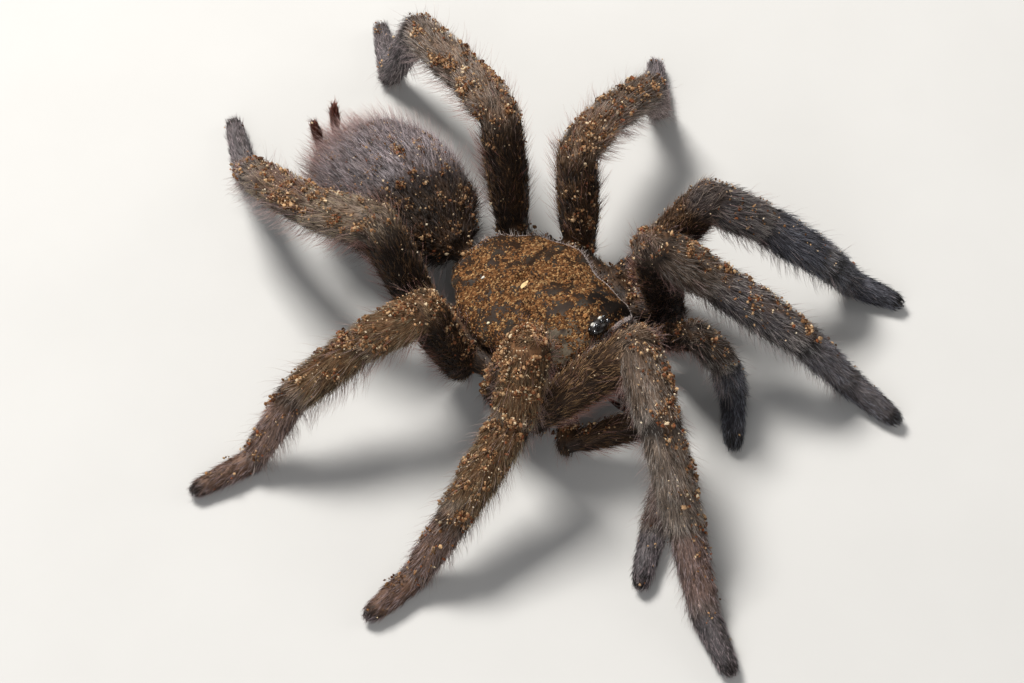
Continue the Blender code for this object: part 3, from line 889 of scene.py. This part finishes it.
def make_carapace():
    rows, cols = 100, 84
    edge_drop, edge_pull = 0.25, 0.985        # the plate's lower face, in mm and as a share of the width
    t = np.linspace(0, 1, rows)
    q = np.cos(np.linspace(0, math.pi, cols))
    w = profile(t, CARAPACE_HALF_WIDTH)
    round_off = np.sqrt(np.clip(1 - np.clip((0.05 - t) / 0.05, 0, 1) ** 2, 0.0, 1))
    round_off = 0.80 + 0.20 * round_off
    x = w[:, None] * round_off[:, None] * q[None]
    y = np.repeat((CARAPACE_FRONT + CARAPACE_LENGTH * t)[:, None], cols, 1)
    z = carapace_height(x, y)
    top = np.stack([x, y, z], 2)
    low = top.copy()
    low[..., 2] = np.minimum(z - edge_drop, CARAPACE_MARGIN_Z + 0.05)
    low[..., 0] *= edge_pull
    return new_mesh("carapace_shell", *loft([np.concatenate([top[k], low[k, ::-1]]) for k in range(rows)]))


def ball(centre, half, rows=12, cols=20, top_only=False):
    rings = []
    a = round_angles(cols)
    for k in range(rows):
        b = -math.pi / 2 + math.pi * (k + 0.5) / rows
        if top_only:
            b = math.pi / 2 * k / rows - 0.2
        x, y = half[0] * math.cos(b) * np.cos(a), half[1] * math.cos(b) * np.sin(a)
        rings.append(np.array(centre) + np.stack([x, y, np.full(cols, half[2] * math.sin(b))], 1))
    return loft(rings)


# three dark eyes on each side of the mound: place on it and radius
DARK_EYES = ((0.34, -0.16, 0.52, 0.26), (0.90, -0.42, 0.24, 0.29), (1.02, 0.18, 0.24, 0.18))


def make_eyes():
    x0, y0, z0 = EYES_AT
    dome = ball((x0, y0, z0 - 0.1), (1.25, 0.80, 0.72), rows=14, cols=36, top_only=True)
    mound = new_mesh("eye_mound", *dome)
    dark, pearly_glints = [], []
    for side in (1, -1):
        for dx, dy, dz, r in DARK_EYES:
            dark.append(ball((x0 + side * dx, y0 + dy, z0 + dz), (r, r, r * 0.9), rows=10, cols=18))
        # pearly posterior median eyes, white and placed so that they also stand in for a painted highlight
        pearly_glints.append(ball((x0 + side * 0.52, y0 + 0.26, z0 + 0.50), (0.25, 0.17, 0.15), rows=10, cols=18))
    return mound, new_mesh("eyes", *merged(dark)), new_mesh("eyes_pale_glint", *merged(pearly_glints))


def tube(points, radii, sides):
    points = np.array(points, float)
    rings = []
    for k, (p, r) in enumerate(zip(points, radii)):
        d = unit(points[min(k + 1, len(points) - 1)] - points[max(k - 1, 0)])
        u, v = ring_frame(d[None])
        a = round_angles(sides)[:, None]
        rings.append(p + r * (np.cos(a) * u + np.sin(a) * v))
    return loft(rings)


def curve_points(knots, count):
    """Points along a smooth curve through knots."""
    knots = np.array(knots, float)
    t = np.linspace(0, len(knots) - 1.0001, count)
    k = t.astype(int)
    f = (t - k)[:, None]
    padded = np.concatenate([2 * knots[:1] - knots[1:2], knots, 2 * knots[-1:] - knots[-2:-1]])
    p0, p1, p2, p3 = (padded[k + i] for i in range(4))
    square, cube = 2 * p0 - 5 * p1 + 4 * p2 - p3, 3 * p1 - p0 - 3 * p2 + p3
    return 0.5 * (2 * p1 + (p2 - p0) * f + square * f * f + cube * f ** 3)


def make_fangs():
    pieces = []
    for side in (1, -1):
        x = side * 1.5
        knots = ((x, -13.5, 3.9), (x, -13.5, 3.0), (x, -13.0, 2.2), (x, -12.0, 1.7), (x, -10.6, 1.5))
        path = curve_points(knots, 16)
        radii = np.interp(np.linspace(0, 1, 16), (0, 0.3, 0.7, 0.93, 1), (0.52, 0.50, 0.34, 0.14, 0.04))
        pieces.append(tube(path, radii, sides=16))
    return new_mesh("fangs", *merged(pieces))


def make_claws():
    pieces = []
    for name in LIMB_NAMES:
        points = limb_joints(name)
        tip, d = points[-1], unit(points[-1] - points[-2])
        d = unit(d * np.array([1, 1, 0]))
        u = np.cross(d, (0, 0, 1))
        for side in ((1, -1) if name.startswith("leg") else (1,)):
            start = tip - d * 0.45 + u * side * 0.30 + np.array([0, 0, 0.25])
            path = curve_points((start, start + d * 0.35 + [0, 0, 0.08], start + d * 0.62 - [0, 0, 0.12],
                                 start + d * 0.70 - [0, 0, 0.38]), 9)
            pieces.append(tube(path, np.linspace(0.12, 0.02, 9), sides=8))
    return new_mesh("claws", *merged(pieces))


def make_carapace_coat(shell):
    """Fine short hair on the plate, and a pale fringe round its edge."""
    points, normals, faces = mesh_arrays(shell.data)
    points = points / MM - SHIFT
    draw = np.random.default_rng(301)
    middle, facing = points[faces].mean(1), unit(normals[faces].mean(1))
    top = (facing[:, 2] > 0.15).astype(float)
    coat = Coat()

    def plate_hair(weight, count, length, width, lifts, jitter, palette):
        at, face, _ = draw_places(points, normals, faces, weight, int(count * BUDGET), draw)
        n = len(at)
        away = unit(np.stack([at[:, 0] - FOVEA[0], at[:, 1] - FOVEA[1], np.zeros(n)], 1))
        along = unit(away - face * np.einsum("ij,ij->i", away, face)[:, None])
        side = np.cross(face, along)
        stray = draw.normal(0, jitter, n)[:, None]
        lift_stray = draw.normal(0, 8, n)
        steps = []
        for lift in lifts:
            a = np.radians(lift + lift_stray)[:, None]
            steps.append(unit((along + side * stray) * np.cos(a) + face * np.sin(a)))
        root, tip = palette(at, draw)
        u = (at[:, 0] / 7.3 + 1) / 2
        v = (at[:, 1] - CARAPACE_FRONT) / CARAPACE_LENGTH
        coat.add(at - face * 0.05, steps, draw.uniform(*length, n), np.full(n, width), root, tip, u, v)

    def bronze_palette(at, draw):
        n = len(at)
        share = plate_soil(at)
        base = blend(plate_colour(at), DUST * 0.8, 0.6 * share)
        # painted shade: roots at half the tip's brightness
        return base * 0.5, blend(base, BRONZE, 0.4 * draw.uniform(size=n))

    def fringe_palette(at, draw):
        n = len(at)
        tip = blend(np.tile(PALE_LILAC * 0.75, (n, 1)), PALE_SILVER, draw.uniform(size=n))
        # painted shade: roots darker than the tips
        return tip * 0.75, tip

    plate_hair(top, 9000, (0.3, 0.6), 0.05, (18,), 0.5, bronze_palette)
    plate_hair(top, 700, (0.7, 1.2), 0.045, (52, 36), 0.4, bronze_palette)
    t = (middle[:, 1] - CARAPACE_FRONT) / CARAPACE_LENGTH
    edge = np.abs(middle[:, 0]) / profile(t, CARAPACE_HALF_WIDTH)
    at_edge = ((edge > 0.93) | (t < 0.02) | (t > 0.975)) & (middle[:, 2] > CARAPACE_MARGIN_Z)
    rim = at_edge * (1 + 2.5 * (t < 0.03))
    front = rim * (t < 0.05)
    rim = rim * (0.06 + 0.94 * smooth((middle[:, 0] + 1.0) / 3.0) + 0.5 * (t < 0.03))
    plate_hair(rim, 4600, (0.7, 1.3), 0.06, (62, 44), 0.35, fringe_palette)
    plate_hair(front, 1100, (1.0, 1.9), 0.05, (50, 22), 0.45, fringe_palette)
    return coat.make("coat_carapace")


def head_flank(at):
    """Shares of the bare grey right flank of the head, and of the black strip on its left."""
    x, y = at[:, 0], at[:, 1]
    ahead = smooth((-3.2 - y) / 2.6)
    bare = ahead * smooth((-x - 0.7) / 1.5)
    return bare, ahead * smooth((x - 1.0) / 1.0) * (1 - 0.85 * smooth((x - 4.2) / 0.8))


def plate_soil(at):
    """How thickly soil lies on the shell plate."""
    x, y = at[:, 0], at[:, 1]
    bare, black = head_flank(at)
    amount = (0.64 - 0.48 * bare - 0.50 * black - 0.10 * smooth((np.abs(x) - 4.8) / 2.0)
              - 0.22 * smooth((y - 3.5) / 3.5))
    amount = amount + 0.24 * mottle(at, 3.0, 21) + 0.22 * mottle(at, 1.1, 22)
    return np.clip(amount, 0.02, 1)


def plate_colour(at):
    """The plate's own colour under the soil."""
    bare, black = head_flank(at)
    colour = blend(np.tile(ink(46, 31, 19), (len(at), 1)), ink(60, 54, 46), 0.05 + 0.4 * mottle(at, 2.6, 23))
    colour = blend(colour, ink(106, 95, 80), bare * (0.65 + 0.4 * mottle(at, 1.0, 24)))
    return blend(colour, ink(24, 18, 14), black)


# ------------------------------------------------------------------ soil grains

GOLDEN = (1 + 5 ** 0.5) / 2
COARSE_CORNERS = unit(np.array([
    (-1, GOLDEN, 0), (1, GOLDEN, 0), (-1, -GOLDEN, 0), (1, -GOLDEN, 0), (0, -1, GOLDEN), (0, 1, GOLDEN),
    (0, -1, -GOLDEN), (0, 1, -GOLDEN), (GOLDEN, 0, -1), (GOLDEN, 0, 1), (-GOLDEN, 0, -1), (-GOLDEN, 0, 1)]))
COARSE_FACES = np.array([
    (0, 11, 5), (0, 5, 1), (0, 1, 7), (0, 7, 10), (0, 10, 11), (1, 5, 9), (5, 11, 4), (11, 10, 2), (10, 7, 6),
    (7, 1, 8), (3, 9, 4), (3, 4, 2), (3, 2, 6), (3, 6, 8), (3, 8, 9), (4, 9, 5), (2, 4, 11), (6, 2, 10),
    (8, 6, 7), (9, 8, 1)])
FINE_CORNERS = np.array([(1, 0, 0), (-1, 0, 0), (0, 1, 0), (0, -1, 0), (0, 0, 1), (0, 0, -1)], float)
FINE_FACES = np.array([
    (0, 2, 4), (2, 1, 4), (1, 3, 4), (3, 0, 4), (2, 0, 5), (1, 2, 5), (3, 1, 5), (0, 3, 5)])
LOWEST_GRAIN = 0.02       # mm over the floor


def lumps(at, size, draw, coarse):
    """Small angular lumps, one at each place: uneven bodies of 20 faces if coarse, or else of 8."""
    corners, faces = (COARSE_CORNERS, COARSE_FACES) if coarse else (FINE_CORNERS, FINE_FACES)
    n, m = len(at), len(corners)
    turn = unit(draw.normal(size=(n, 4)))
    w, x, y, z = turn.T
    matrix = np.stack([1 - 2 * (y * y + z * z), 2 * (x * y - z * w), 2 * (x * z + y * w),
                       2 * (x * y + z * w), 1 - 2 * (x * x + z * z), 2 * (y * z - x * w),
                       2 * (x * z - y * w), 2 * (y * z + x * w), 1 - 2 * (x * x + y * y)], 1).reshape(n, 3, 3)
    shape = corners[None] * draw.uniform(0.62, 1.28, (n, m, 1)) * draw.uniform(0.65, 1.25, (n, 1, 3))
    points = at[:, None] + np.einsum("nij,nmj->nmi", matrix, shape) * size[:, None, None]
    points[..., 2] = np.maximum(points[..., 2], LOWEST_GRAIN)
    return points.reshape(-1, 3), (faces[None] + (np.arange(n) * m)[:, None, None]).reshape(-1, 3), m


SOIL_TINTS = np.array([ink(66, 43, 28), ink(108, 76, 48), ink(146, 108, 74), ink(182, 148, 110),
                       ink(212, 190, 156), ink(116, 66, 40)])
SOIL_TINT_SHARES = (0.24, 0.22, 0.19, 0.15, 0.05, 0.15)


def soil_colours(n, draw):
    pick = draw.choice(len(SOIL_TINTS), n, p=SOIL_TINT_SHARES)
    colour = blend(SOIL_TINTS[pick], SOIL_TINTS[draw.permutation(pick)], 0.3 * draw.uniform(size=n))
    return colour * draw.uniform(0.75, 1.2, n)[:, None]


def clumps(points):
    """Grains gather in clumps about half a millimetre across."""
    return np.clip(0.20 + 0.9 * mottle(points, 1.5, 31) + 0.8 * mottle(points, 0.8, 32), 0.015, None) ** 1.5


# where grains are heaped: place and spread, in mm
HEAPS = (((-17.0, -8.0, 7.5), 0.55), ((-17.3, -9.6, 7.5), 0.45), ((-0.1, -6.4, 10.0), 0.55),
         ((-1.9, -7.6, 9.2), 0.42), ((-1.2, 17.0, 11.5), 0.40), ((-3.4, 20.5, 10.4), 0.35),
         ((1.5, 20.0, 11.8), 0.35), ((0.8, 13.6, 10.8), 0.35), ((-0.6, 24.0, 9.8), 0.30))
HEAP_WEIGHT = 6.0


def heaped(points):
    total = np.zeros(len(points))
    for place, spread_out in HEAPS:
        total += np.exp(-(((points - np.array(place)) / spread_out) ** 2).sum(1))
    return HEAP_WEIGHT * total


# a few bigger crumbs and flakes: place, half sizes, colour
CRUMBS = (
    ((-0.6, 1.0), (0.60, 0.26, 0.10), (222, 190, 138)), ((-2.2, 5.1), (0.26, 0.15, 0.10), (226, 220, 206)),
    ((-5.9, 1.0), (0.18, 0.16, 0.14), (214, 202, 168)), ((-0.1, -6.3), (0.30, 0.24, 0.20), (176, 124, 76)),
)


# grains on the coat and on the plate, least and greatest size in mm, whether coarse, and how rare the
# big ones are
GRAIN_KINDS = {
    "soil_dust": (3500, 6500, 0.03, 0.08, False, 1.0),
    "soil_fine": (15200, 5600, 0.07, 0.17, False, 1.4),
    "soil_grains": (3000, 1000, 0.12, 0.25, True, 1.8),
}
SPECKS = 2200             # single pale specks on the dark hair
SPECK_DARK, SPECK_LIGHT = ink(190, 150, 104), ink(228, 212, 184)


def make_grains(skin, places, shell):
    points, normals, faces = skin
    share = soil_share(places)
    draw = np.random.default_rng(401)
    plate_points, plate_normals, plate_faces = mesh_arrays(shell.data)
    plate_points = plate_points / MM - SHIFT
    middle, upward = plate_points[plate_faces].mean(1), unit(plate_normals[plate_faces].mean(1))[:, 2]
    on_plate = (plate_soil(middle) ** 1.5 + 2.0 * heaped(middle)) * (upward > 0.2) * clumps(middle)
    dusty = share ** 1.2 * clumps(places.points) + heaped(places.points)
    upper = np.isin(places.segment, [COXA, FEMUR, PATELLA, TIBIA]) & (places.part != SPINNERETS)
    sprinkled = smooth((places.world_up + 0.1) / 0.8) * upper * (0.25 + share)
    made = []
    for name, (on_coat, on_shell, low, high, coarse, power) in GRAIN_KINDS.items():
        at, facing, _ = draw_places(points, normals, faces, dusty, int(on_coat * BUDGET), draw)
        size = low + (high - low) * draw.uniform(size=len(at)) ** power
        at = at + facing * (size * 0.3 + draw.uniform(0.10, 0.46, len(at)))[:, None]
        more, facing, _ = draw_places(plate_points, plate_normals, plate_faces, on_plate,
                                      int(on_shell * BUDGET), draw)
        more_size = (low + (high - low) * draw.uniform(size=len(more)) ** power) * 0.90
        piled = 0.30 * heaped(more) / HEAP_WEIGHT * draw.uniform(size=len(more))
        more = more + facing * (more_size * 0.3 + piled)[:, None]
        colours = [soil_colours(len(at) + len(more), draw)]
        at, size = np.concatenate([at, more]), np.concatenate([size, more_size])
        if name == "soil_dust":
            n = int(SPECKS * BUDGET)
            more, facing, _ = draw_places(points, normals, faces, sprinkled, n, draw)
            more_size = 0.03 + 0.09 * draw.uniform(size=n) ** 2
            more = more + facing * draw.uniform(0.25, 0.5, n)[:, None]
            at, size = np.concatenate([at, more]), np.concatenate([size, more_size])
            colours.append(blend(np.tile(SPECK_DARK, (n, 1)), SPECK_LIGHT, draw.uniform(size=n)))
        grains, triangles, corners = lumps(at, size, draw, coarse)
        hue = np.repeat(np.concatenate(colours), corners, 0)
        if coarse:
            grains, triangles, hue = with_crumbs(grains, triangles, hue, draw)
        piece = new_mesh(name, grains, triangles, smooth_shade=False)
        paint(piece.data, "hue", hue)
        made.append(piece)
    return made


def with_crumbs(points, faces, hue, draw):
    """The coarse grains, with the bigger crumbs on the plate added."""
    for (x, y), half, tint in CRUMBS:
        z = float(carapace_height(np.array(x), np.array(y)))
        crumb, triangles, corners = lumps(np.zeros((1, 3)), np.ones(1), draw, True)
        crumb = crumb / np.abs(crumb).max(0) * np.array(half)
        faces = np.concatenate([faces, triangles + len(points)])
        points = np.concatenate([points, crumb + [x, y, z + half[2] * 0.6]])
        hue = np.concatenate([hue, np.tile(ink(*tint), (corners, 1))])
    return points, faces, hue


# ------------------------------------------------------------------ materials

def new_material(name, roughness, specular=0.5):
    material = bpy.data.materials.new(name)
    material.use_nodes = True
    tree = material.node_tree
    shader = tree.nodes["Principled BSDF"]
    shader.inputs["Roughness"].default_value = roughness
    shader.inputs["Specular IOR Level"].default_value = specular
    return material, tree, shader


def node(tree, kind, **values):
    made = tree.nodes.new(kind)
    for key, value in values.items():
        if key in made.inputs:
            made.inputs[key].default_value = value
        else:
            setattr(made, key, value)
    return made


def noise(tree, coordinates, scale, detail=4.0, roughness=0.55):
    made = node(tree, "ShaderNodeTexNoise", Scale=scale, Detail=detail, Roughness=roughness)
    tree.links.new(coordinates, made.inputs["Vector"])
    return made.outputs["Fac"]


def spread(tree, value, low, high, to_low=0.0, to_high=1.0):
    made = node(tree, "ShaderNodeMapRange")
    made.inputs["From Min"].default_value, made.inputs["From Max"].default_value = low, high
    made.inputs["To Min"].default_value, made.inputs["To Max"].default_value = to_low, to_high
    tree.links.new(value, made.inputs["Value"])
    return made.outputs["Result"]


def mix_colour(tree, factor, a, b, mode="MIX"):
    made = node(tree, "ShaderNodeMix", data_type="RGBA", blend_type=mode)
    for socket, value in ((made.inputs["Factor"], factor), (made.inputs[6], a), (made.inputs[7], b)):
        if isinstance(value, bpy.types.NodeSocket):
            tree.links.new(value, socket)
        elif isinstance(value, (int, float)):
            socket.default_value = value
        else:
            socket.default_value = (*value, 1.0)
    return made.outputs[2]


def object_coordinates(tree):
    return node(tree, "ShaderNodeTexCoord").outputs["Object"]


def bump(tree, shader, height, strength, distance):
    made = node(tree, "ShaderNodeBump", Strength=strength, Distance=distance)
    tree.links.new(height, made.inputs["Height"])
    tree.links.new(made.outputs["Normal"], shader.inputs["Normal"])


def painted_material(name, roughness, specular, scale, low, high, bump_scale=None, bump_distance=0.0):
    """A surface that shows its painted markings, broken up by noise."""
    material, tree, shader = new_material(name, roughness, specular)
    hue = node(tree, "ShaderNodeAttribute", attribute_name="hue").outputs["Color"]
    where = object_coordinates(tree)
    tone = spread(tree, noise(tree, where, scale), 0.3, 0.7, low, high)
    grey = node(tree, "ShaderNodeCombineColor")
    for channel in grey.inputs:
        tree.links.new(tone, channel)
    colour = mix_colour(tree, 1.0, hue, grey.outputs["Color"], "MULTIPLY")
    tree.links.new(colour, shader.inputs["Base Color"])
    if bump_scale:
        bump(tree, shader, noise(tree, where, bump_scale, 3.0), 1.0, bump_distance)
    return material


def shell_material():
    """The plate's own colour, under soil laid grain by grain where the soil attribute is high."""
    material, tree, shader = new_material("carapace_material", 0.5, 0.12)
    where = object_coordinates(tree)
    soil = node(tree, "ShaderNodeAttribute", attribute_name="soil").outputs["Fac"]
    hue = node(tree, "ShaderNodeAttribute", attribute_name="hue").outputs["Color"]
    speckle = spread(tree, noise(tree, where, 5000, 3.0), 0.35, 0.65)
    plate = mix_colour(tree, speckle, mix_colour(tree, 0.45, hue, (0.0, 0.0, 0.0)), hue)
    cells = node(tree, "ShaderNodeTexVoronoi", Scale=5600.0)
    tree.links.new(where, cells.inputs["Vector"])
    parts = node(tree, "ShaderNodeSeparateColor")
    tree.links.new(cells.outputs["Color"], parts.inputs["Color"])
    dark = mix_colour(tree, spread(tree, parts.outputs["Red"], 0.0, 0.7), ink(54, 34, 20), ink(134, 90, 53))
    earth = mix_colour(tree, spread(tree, parts.outputs["Red"], 0.72, 1.0), dark, ink(190, 152, 104))
    patchy = spread(tree, noise(tree, where, 1900, 4.0, 0.65), 0.36, 0.64)
    earth = mix_colour(tree, patchy, mix_colour(tree, 0.5, earth, ink(40, 26, 16)), earth)
    breakup = spread(tree, noise(tree, where, 1100, 5.0, 0.6), 0.3, 0.7, -0.40, 0.40)
    scatter = spread(tree, parts.outputs["Green"], 0.0, 1.0, -0.36, 0.36)
    total = soil
    for extra in (breakup, scatter):
        add = node(tree, "ShaderNodeMath", operation="ADD")
        tree.links.new(total, add.inputs[0])
        tree.links.new(extra, add.inputs[1])
        total = add.outputs[0]
    cover = spread(tree, total, 0.34, 0.46)
    tree.links.new(mix_colour(tree, cover, plate, earth), shader.inputs["Base Color"])
    tree.links.new(spread(tree, cover, 0, 1, 0.55, 0.95), shader.inputs["Roughness"])
    rise = spread(tree, cells.outputs["Distance"], 0.0, 0.8, 1.0, 0.0)
    grain = node(tree, "ShaderNodeMath", operation="MULTIPLY")
    tree.links.new(rise, grain.inputs[0])
    tree.links.new(cover, grain.inputs[1])
    bump(tree, shader, grain.outputs[0], 1.0, 0.00016)
    return material


def plain_gloss(name, dark, light, scale, roughness, specular):
    material, tree, shader = new_material(name, roughness, specular)
    where = object_coordinates(tree)
    colour = mix_colour(tree, spread(tree, noise(tree, where, scale), 0.35, 0.65), dark, light)
    tree.links.new(colour, shader.inputs["Base Color"])
    return material


# ------------------------------------------------------------------ making it all

def show(piece, material, slot, *nodes):
    piece.data.materials.clear()
    piece.data.materials.append(material)
    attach(piece, "root")
    if nodes:
        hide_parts(*nodes)


skin_object = make_skin()
coats, skin_arrays, triangle_places = make_coats(skin_object)
vertex_places = Places(skin_arrays[0], skin_arrays[1])
dust = soil_share(vertex_places)
# the skin under the hair takes the markings, with their painted light and shade, blended toward SKIN_DARK
skin_hue = blend(np.tile(SKIN_DARK, (len(dust), 1)), markings(vertex_places) * 0.6, 0.6)
skin_hue = blend(skin_hue, DUST * 0.5, 0.6 * dust)
skin_mesh = skin_object.data
skin_mesh.vertices.foreach_set("co", ((skin_arrays[0] + SHIFT) * MM).astype(np.float32).ravel())
skin_mesh.update()
paint(skin_mesh, "hue", skin_hue)

shell_object = make_carapace()
shell_points = mesh_arrays(shell_object.data)[0] / MM - SHIFT
grade(shell_object.data, "soil", plate_soil(shell_points))
paint(shell_object.data, "hue", plate_colour(shell_points))
carapace_coat = make_carapace_coat(shell_object)
grains = make_grains(skin_arrays, triangle_places, shell_object)
eye_mound, eyes, pale_glint_eyes = make_eyes()
fangs = make_fangs()
claws = make_claws()

hair_material = painted_material("hair_material", 0.5, 0.30, 400, 0.8, 1.25)
skin_material = painted_material("skin_material", 0.62, 0.25, 700, 0.7, 1.3, 2200, 0.00008)
soil_material = painted_material("soil_material", 0.95, 0.2, 4000, 0.75, 1.25, 6000, 0.00005)

FLESH = ("leg_", "palp_", "abdomen", "sternum", "chelicera", "spinneret")
flesh = sorted(name for name in set(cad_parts) if name.startswith(FLESH))
show(skin_object, skin_material, "underside", *flesh)
for piece, name in zip(coats, LIMB_NAMES + ["abdomen", "underbody"]):
    slot = {"abdomen": "abdomen", "underbody": "underside"}.get(name, "upper_limbs")
    show(piece, hair_material, slot)
show(shell_object, shell_material(), "carapace", "carapace")
show(carapace_coat, hair_material, "carapace")
for piece in grains:
    show(piece, soil_material, "carapace")
# piece, its material's name, dark and light colour, scale of the noise, roughness, specular, slot, nodes
GLOSSY = (
    (eye_mound, "eye_mound_material", ink(14, 12, 11), ink(38, 31, 27), 900, 0.25, 0.6, "eyes",
     "eye_tubercle"),
    (eyes, "eye_material", ink(6, 6, 8), ink(20, 18, 22), 700, 0.16, 1.0, "eyes"),
    # the pale eyes' near-white colour is partly their own pearly colour and partly a painted highlight
    (pale_glint_eyes, "pale_glint_eye_material", ink(186, 182, 172), ink(232, 228, 216), 3000, 0.12, 1.0, "eyes"),
    (fangs, "fang_material", ink(22, 10, 8), ink(74, 30, 20), 300, 0.16, 0.6, "fangs", "fang_l", "fang_r"),
    (claws, "claw_material", ink(14, 10, 9), ink(44, 32, 26), 500, 0.3, 0.6, "fangs"),
)
for piece, name, dark, light, scale, roughness, specular, slot, *nodes in GLOSSY:
    show(piece, plain_gloss(name, dark, light, scale, roughness, specular), slot, *nodes)

# ------------------------------------------------------------------ floor, light, camera

FLOOR_HALF = 900          # mm
floor_points = [(x * FLOOR_HALF, y * FLOOR_HALF, 0) for x, y in ((-1, -1), (1, -1), (1, 1), (-1, 1))]
floor = new_mesh("floor", floor_points, [(0, 1, 2, 3)])
floor_material, floor_tree, floor_shader = new_material("floor_material", 0.8, 0.2)
floor_where = object_coordinates(floor_tree)
floor_noise = noise(floor_tree, floor_where, 60)
floor_colour = mix_colour(floor_tree, floor_noise, (0.50, 0.49, 0.47), (0.54, 0.53, 0.51))
floor_tree.links.new(floor_colour, floor_shader.inputs["Base Color"])
floor.data.materials.append(floor_material)

world = bpy.data.worlds.new("studio")
world.use_nodes = True
background = world.node_tree.nodes["Background"]
background.inputs["Color"].default_value = (0.93, 0.95, 1.0, 1.0)
background.inputs["Strength"].default_value = 0.20
bpy.context.scene.world = world

TARGET = Vector((SHIFT + (-2.02, 1.41, 0.0)) * MM)


def area_light(name, at, size, power, colour):
    lamp = bpy.data.lights.new(name, "AREA")
    lamp.shape, lamp.size, lamp.energy, lamp.color = "SQUARE", size, power, colour
    thing = bpy.data.objects.new(name, lamp)
    bpy.context.scene.collection.objects.link(thing)
    thing.location = at
    thing.rotation_mode = "QUATERNION"
    thing.rotation_quaternion = (TARGET - Vector(at)).to_track_quat("-Z", "Y")


# place and size in metres, power in watts, colour
LIGHTS = {
    "key": ((0.03, 0.26, 0.44), 0.16, 4.0, (1.0, 0.985, 0.96)),
    "fill": ((-0.42, -0.20, 0.34), 0.40, 1.2, (0.95, 0.97, 1.0)),
    "side": ((0.40, -0.32, 0.28), 0.35, 0.7, (1.0, 0.98, 0.95)),
}
for name, values in LIGHTS.items():
    area_light(name, *values)

SENSOR_WIDTH, LENS = 36.0, 105.5          # mm
CAMERA_DISTANCE = 0.300                   # metres from the target
toward_camera = Vector((-0.4150, -0.3747, 0.8290)).normalized()       # from the same fit as the pose
camera_data = bpy.data.cameras.new("camera")
camera_data.sensor_width, camera_data.lens = SENSOR_WIDTH, LENS
camera_data.clip_start, camera_data.clip_end = 0.01, 10.0
camera = bpy.data.objects.new("camera", camera_data)
bpy.context.scene.collection.objects.link(camera)
camera.location = TARGET + toward_camera * CAMERA_DISTANCE
camera.rotation_mode = "QUATERNION"
camera.rotation_quaternion = (-toward_camera).to_track_quat("-Z", "Y")
bpy.context.scene.camera = camera
bpy.context.scene.view_settings.view_transform = "Standard"
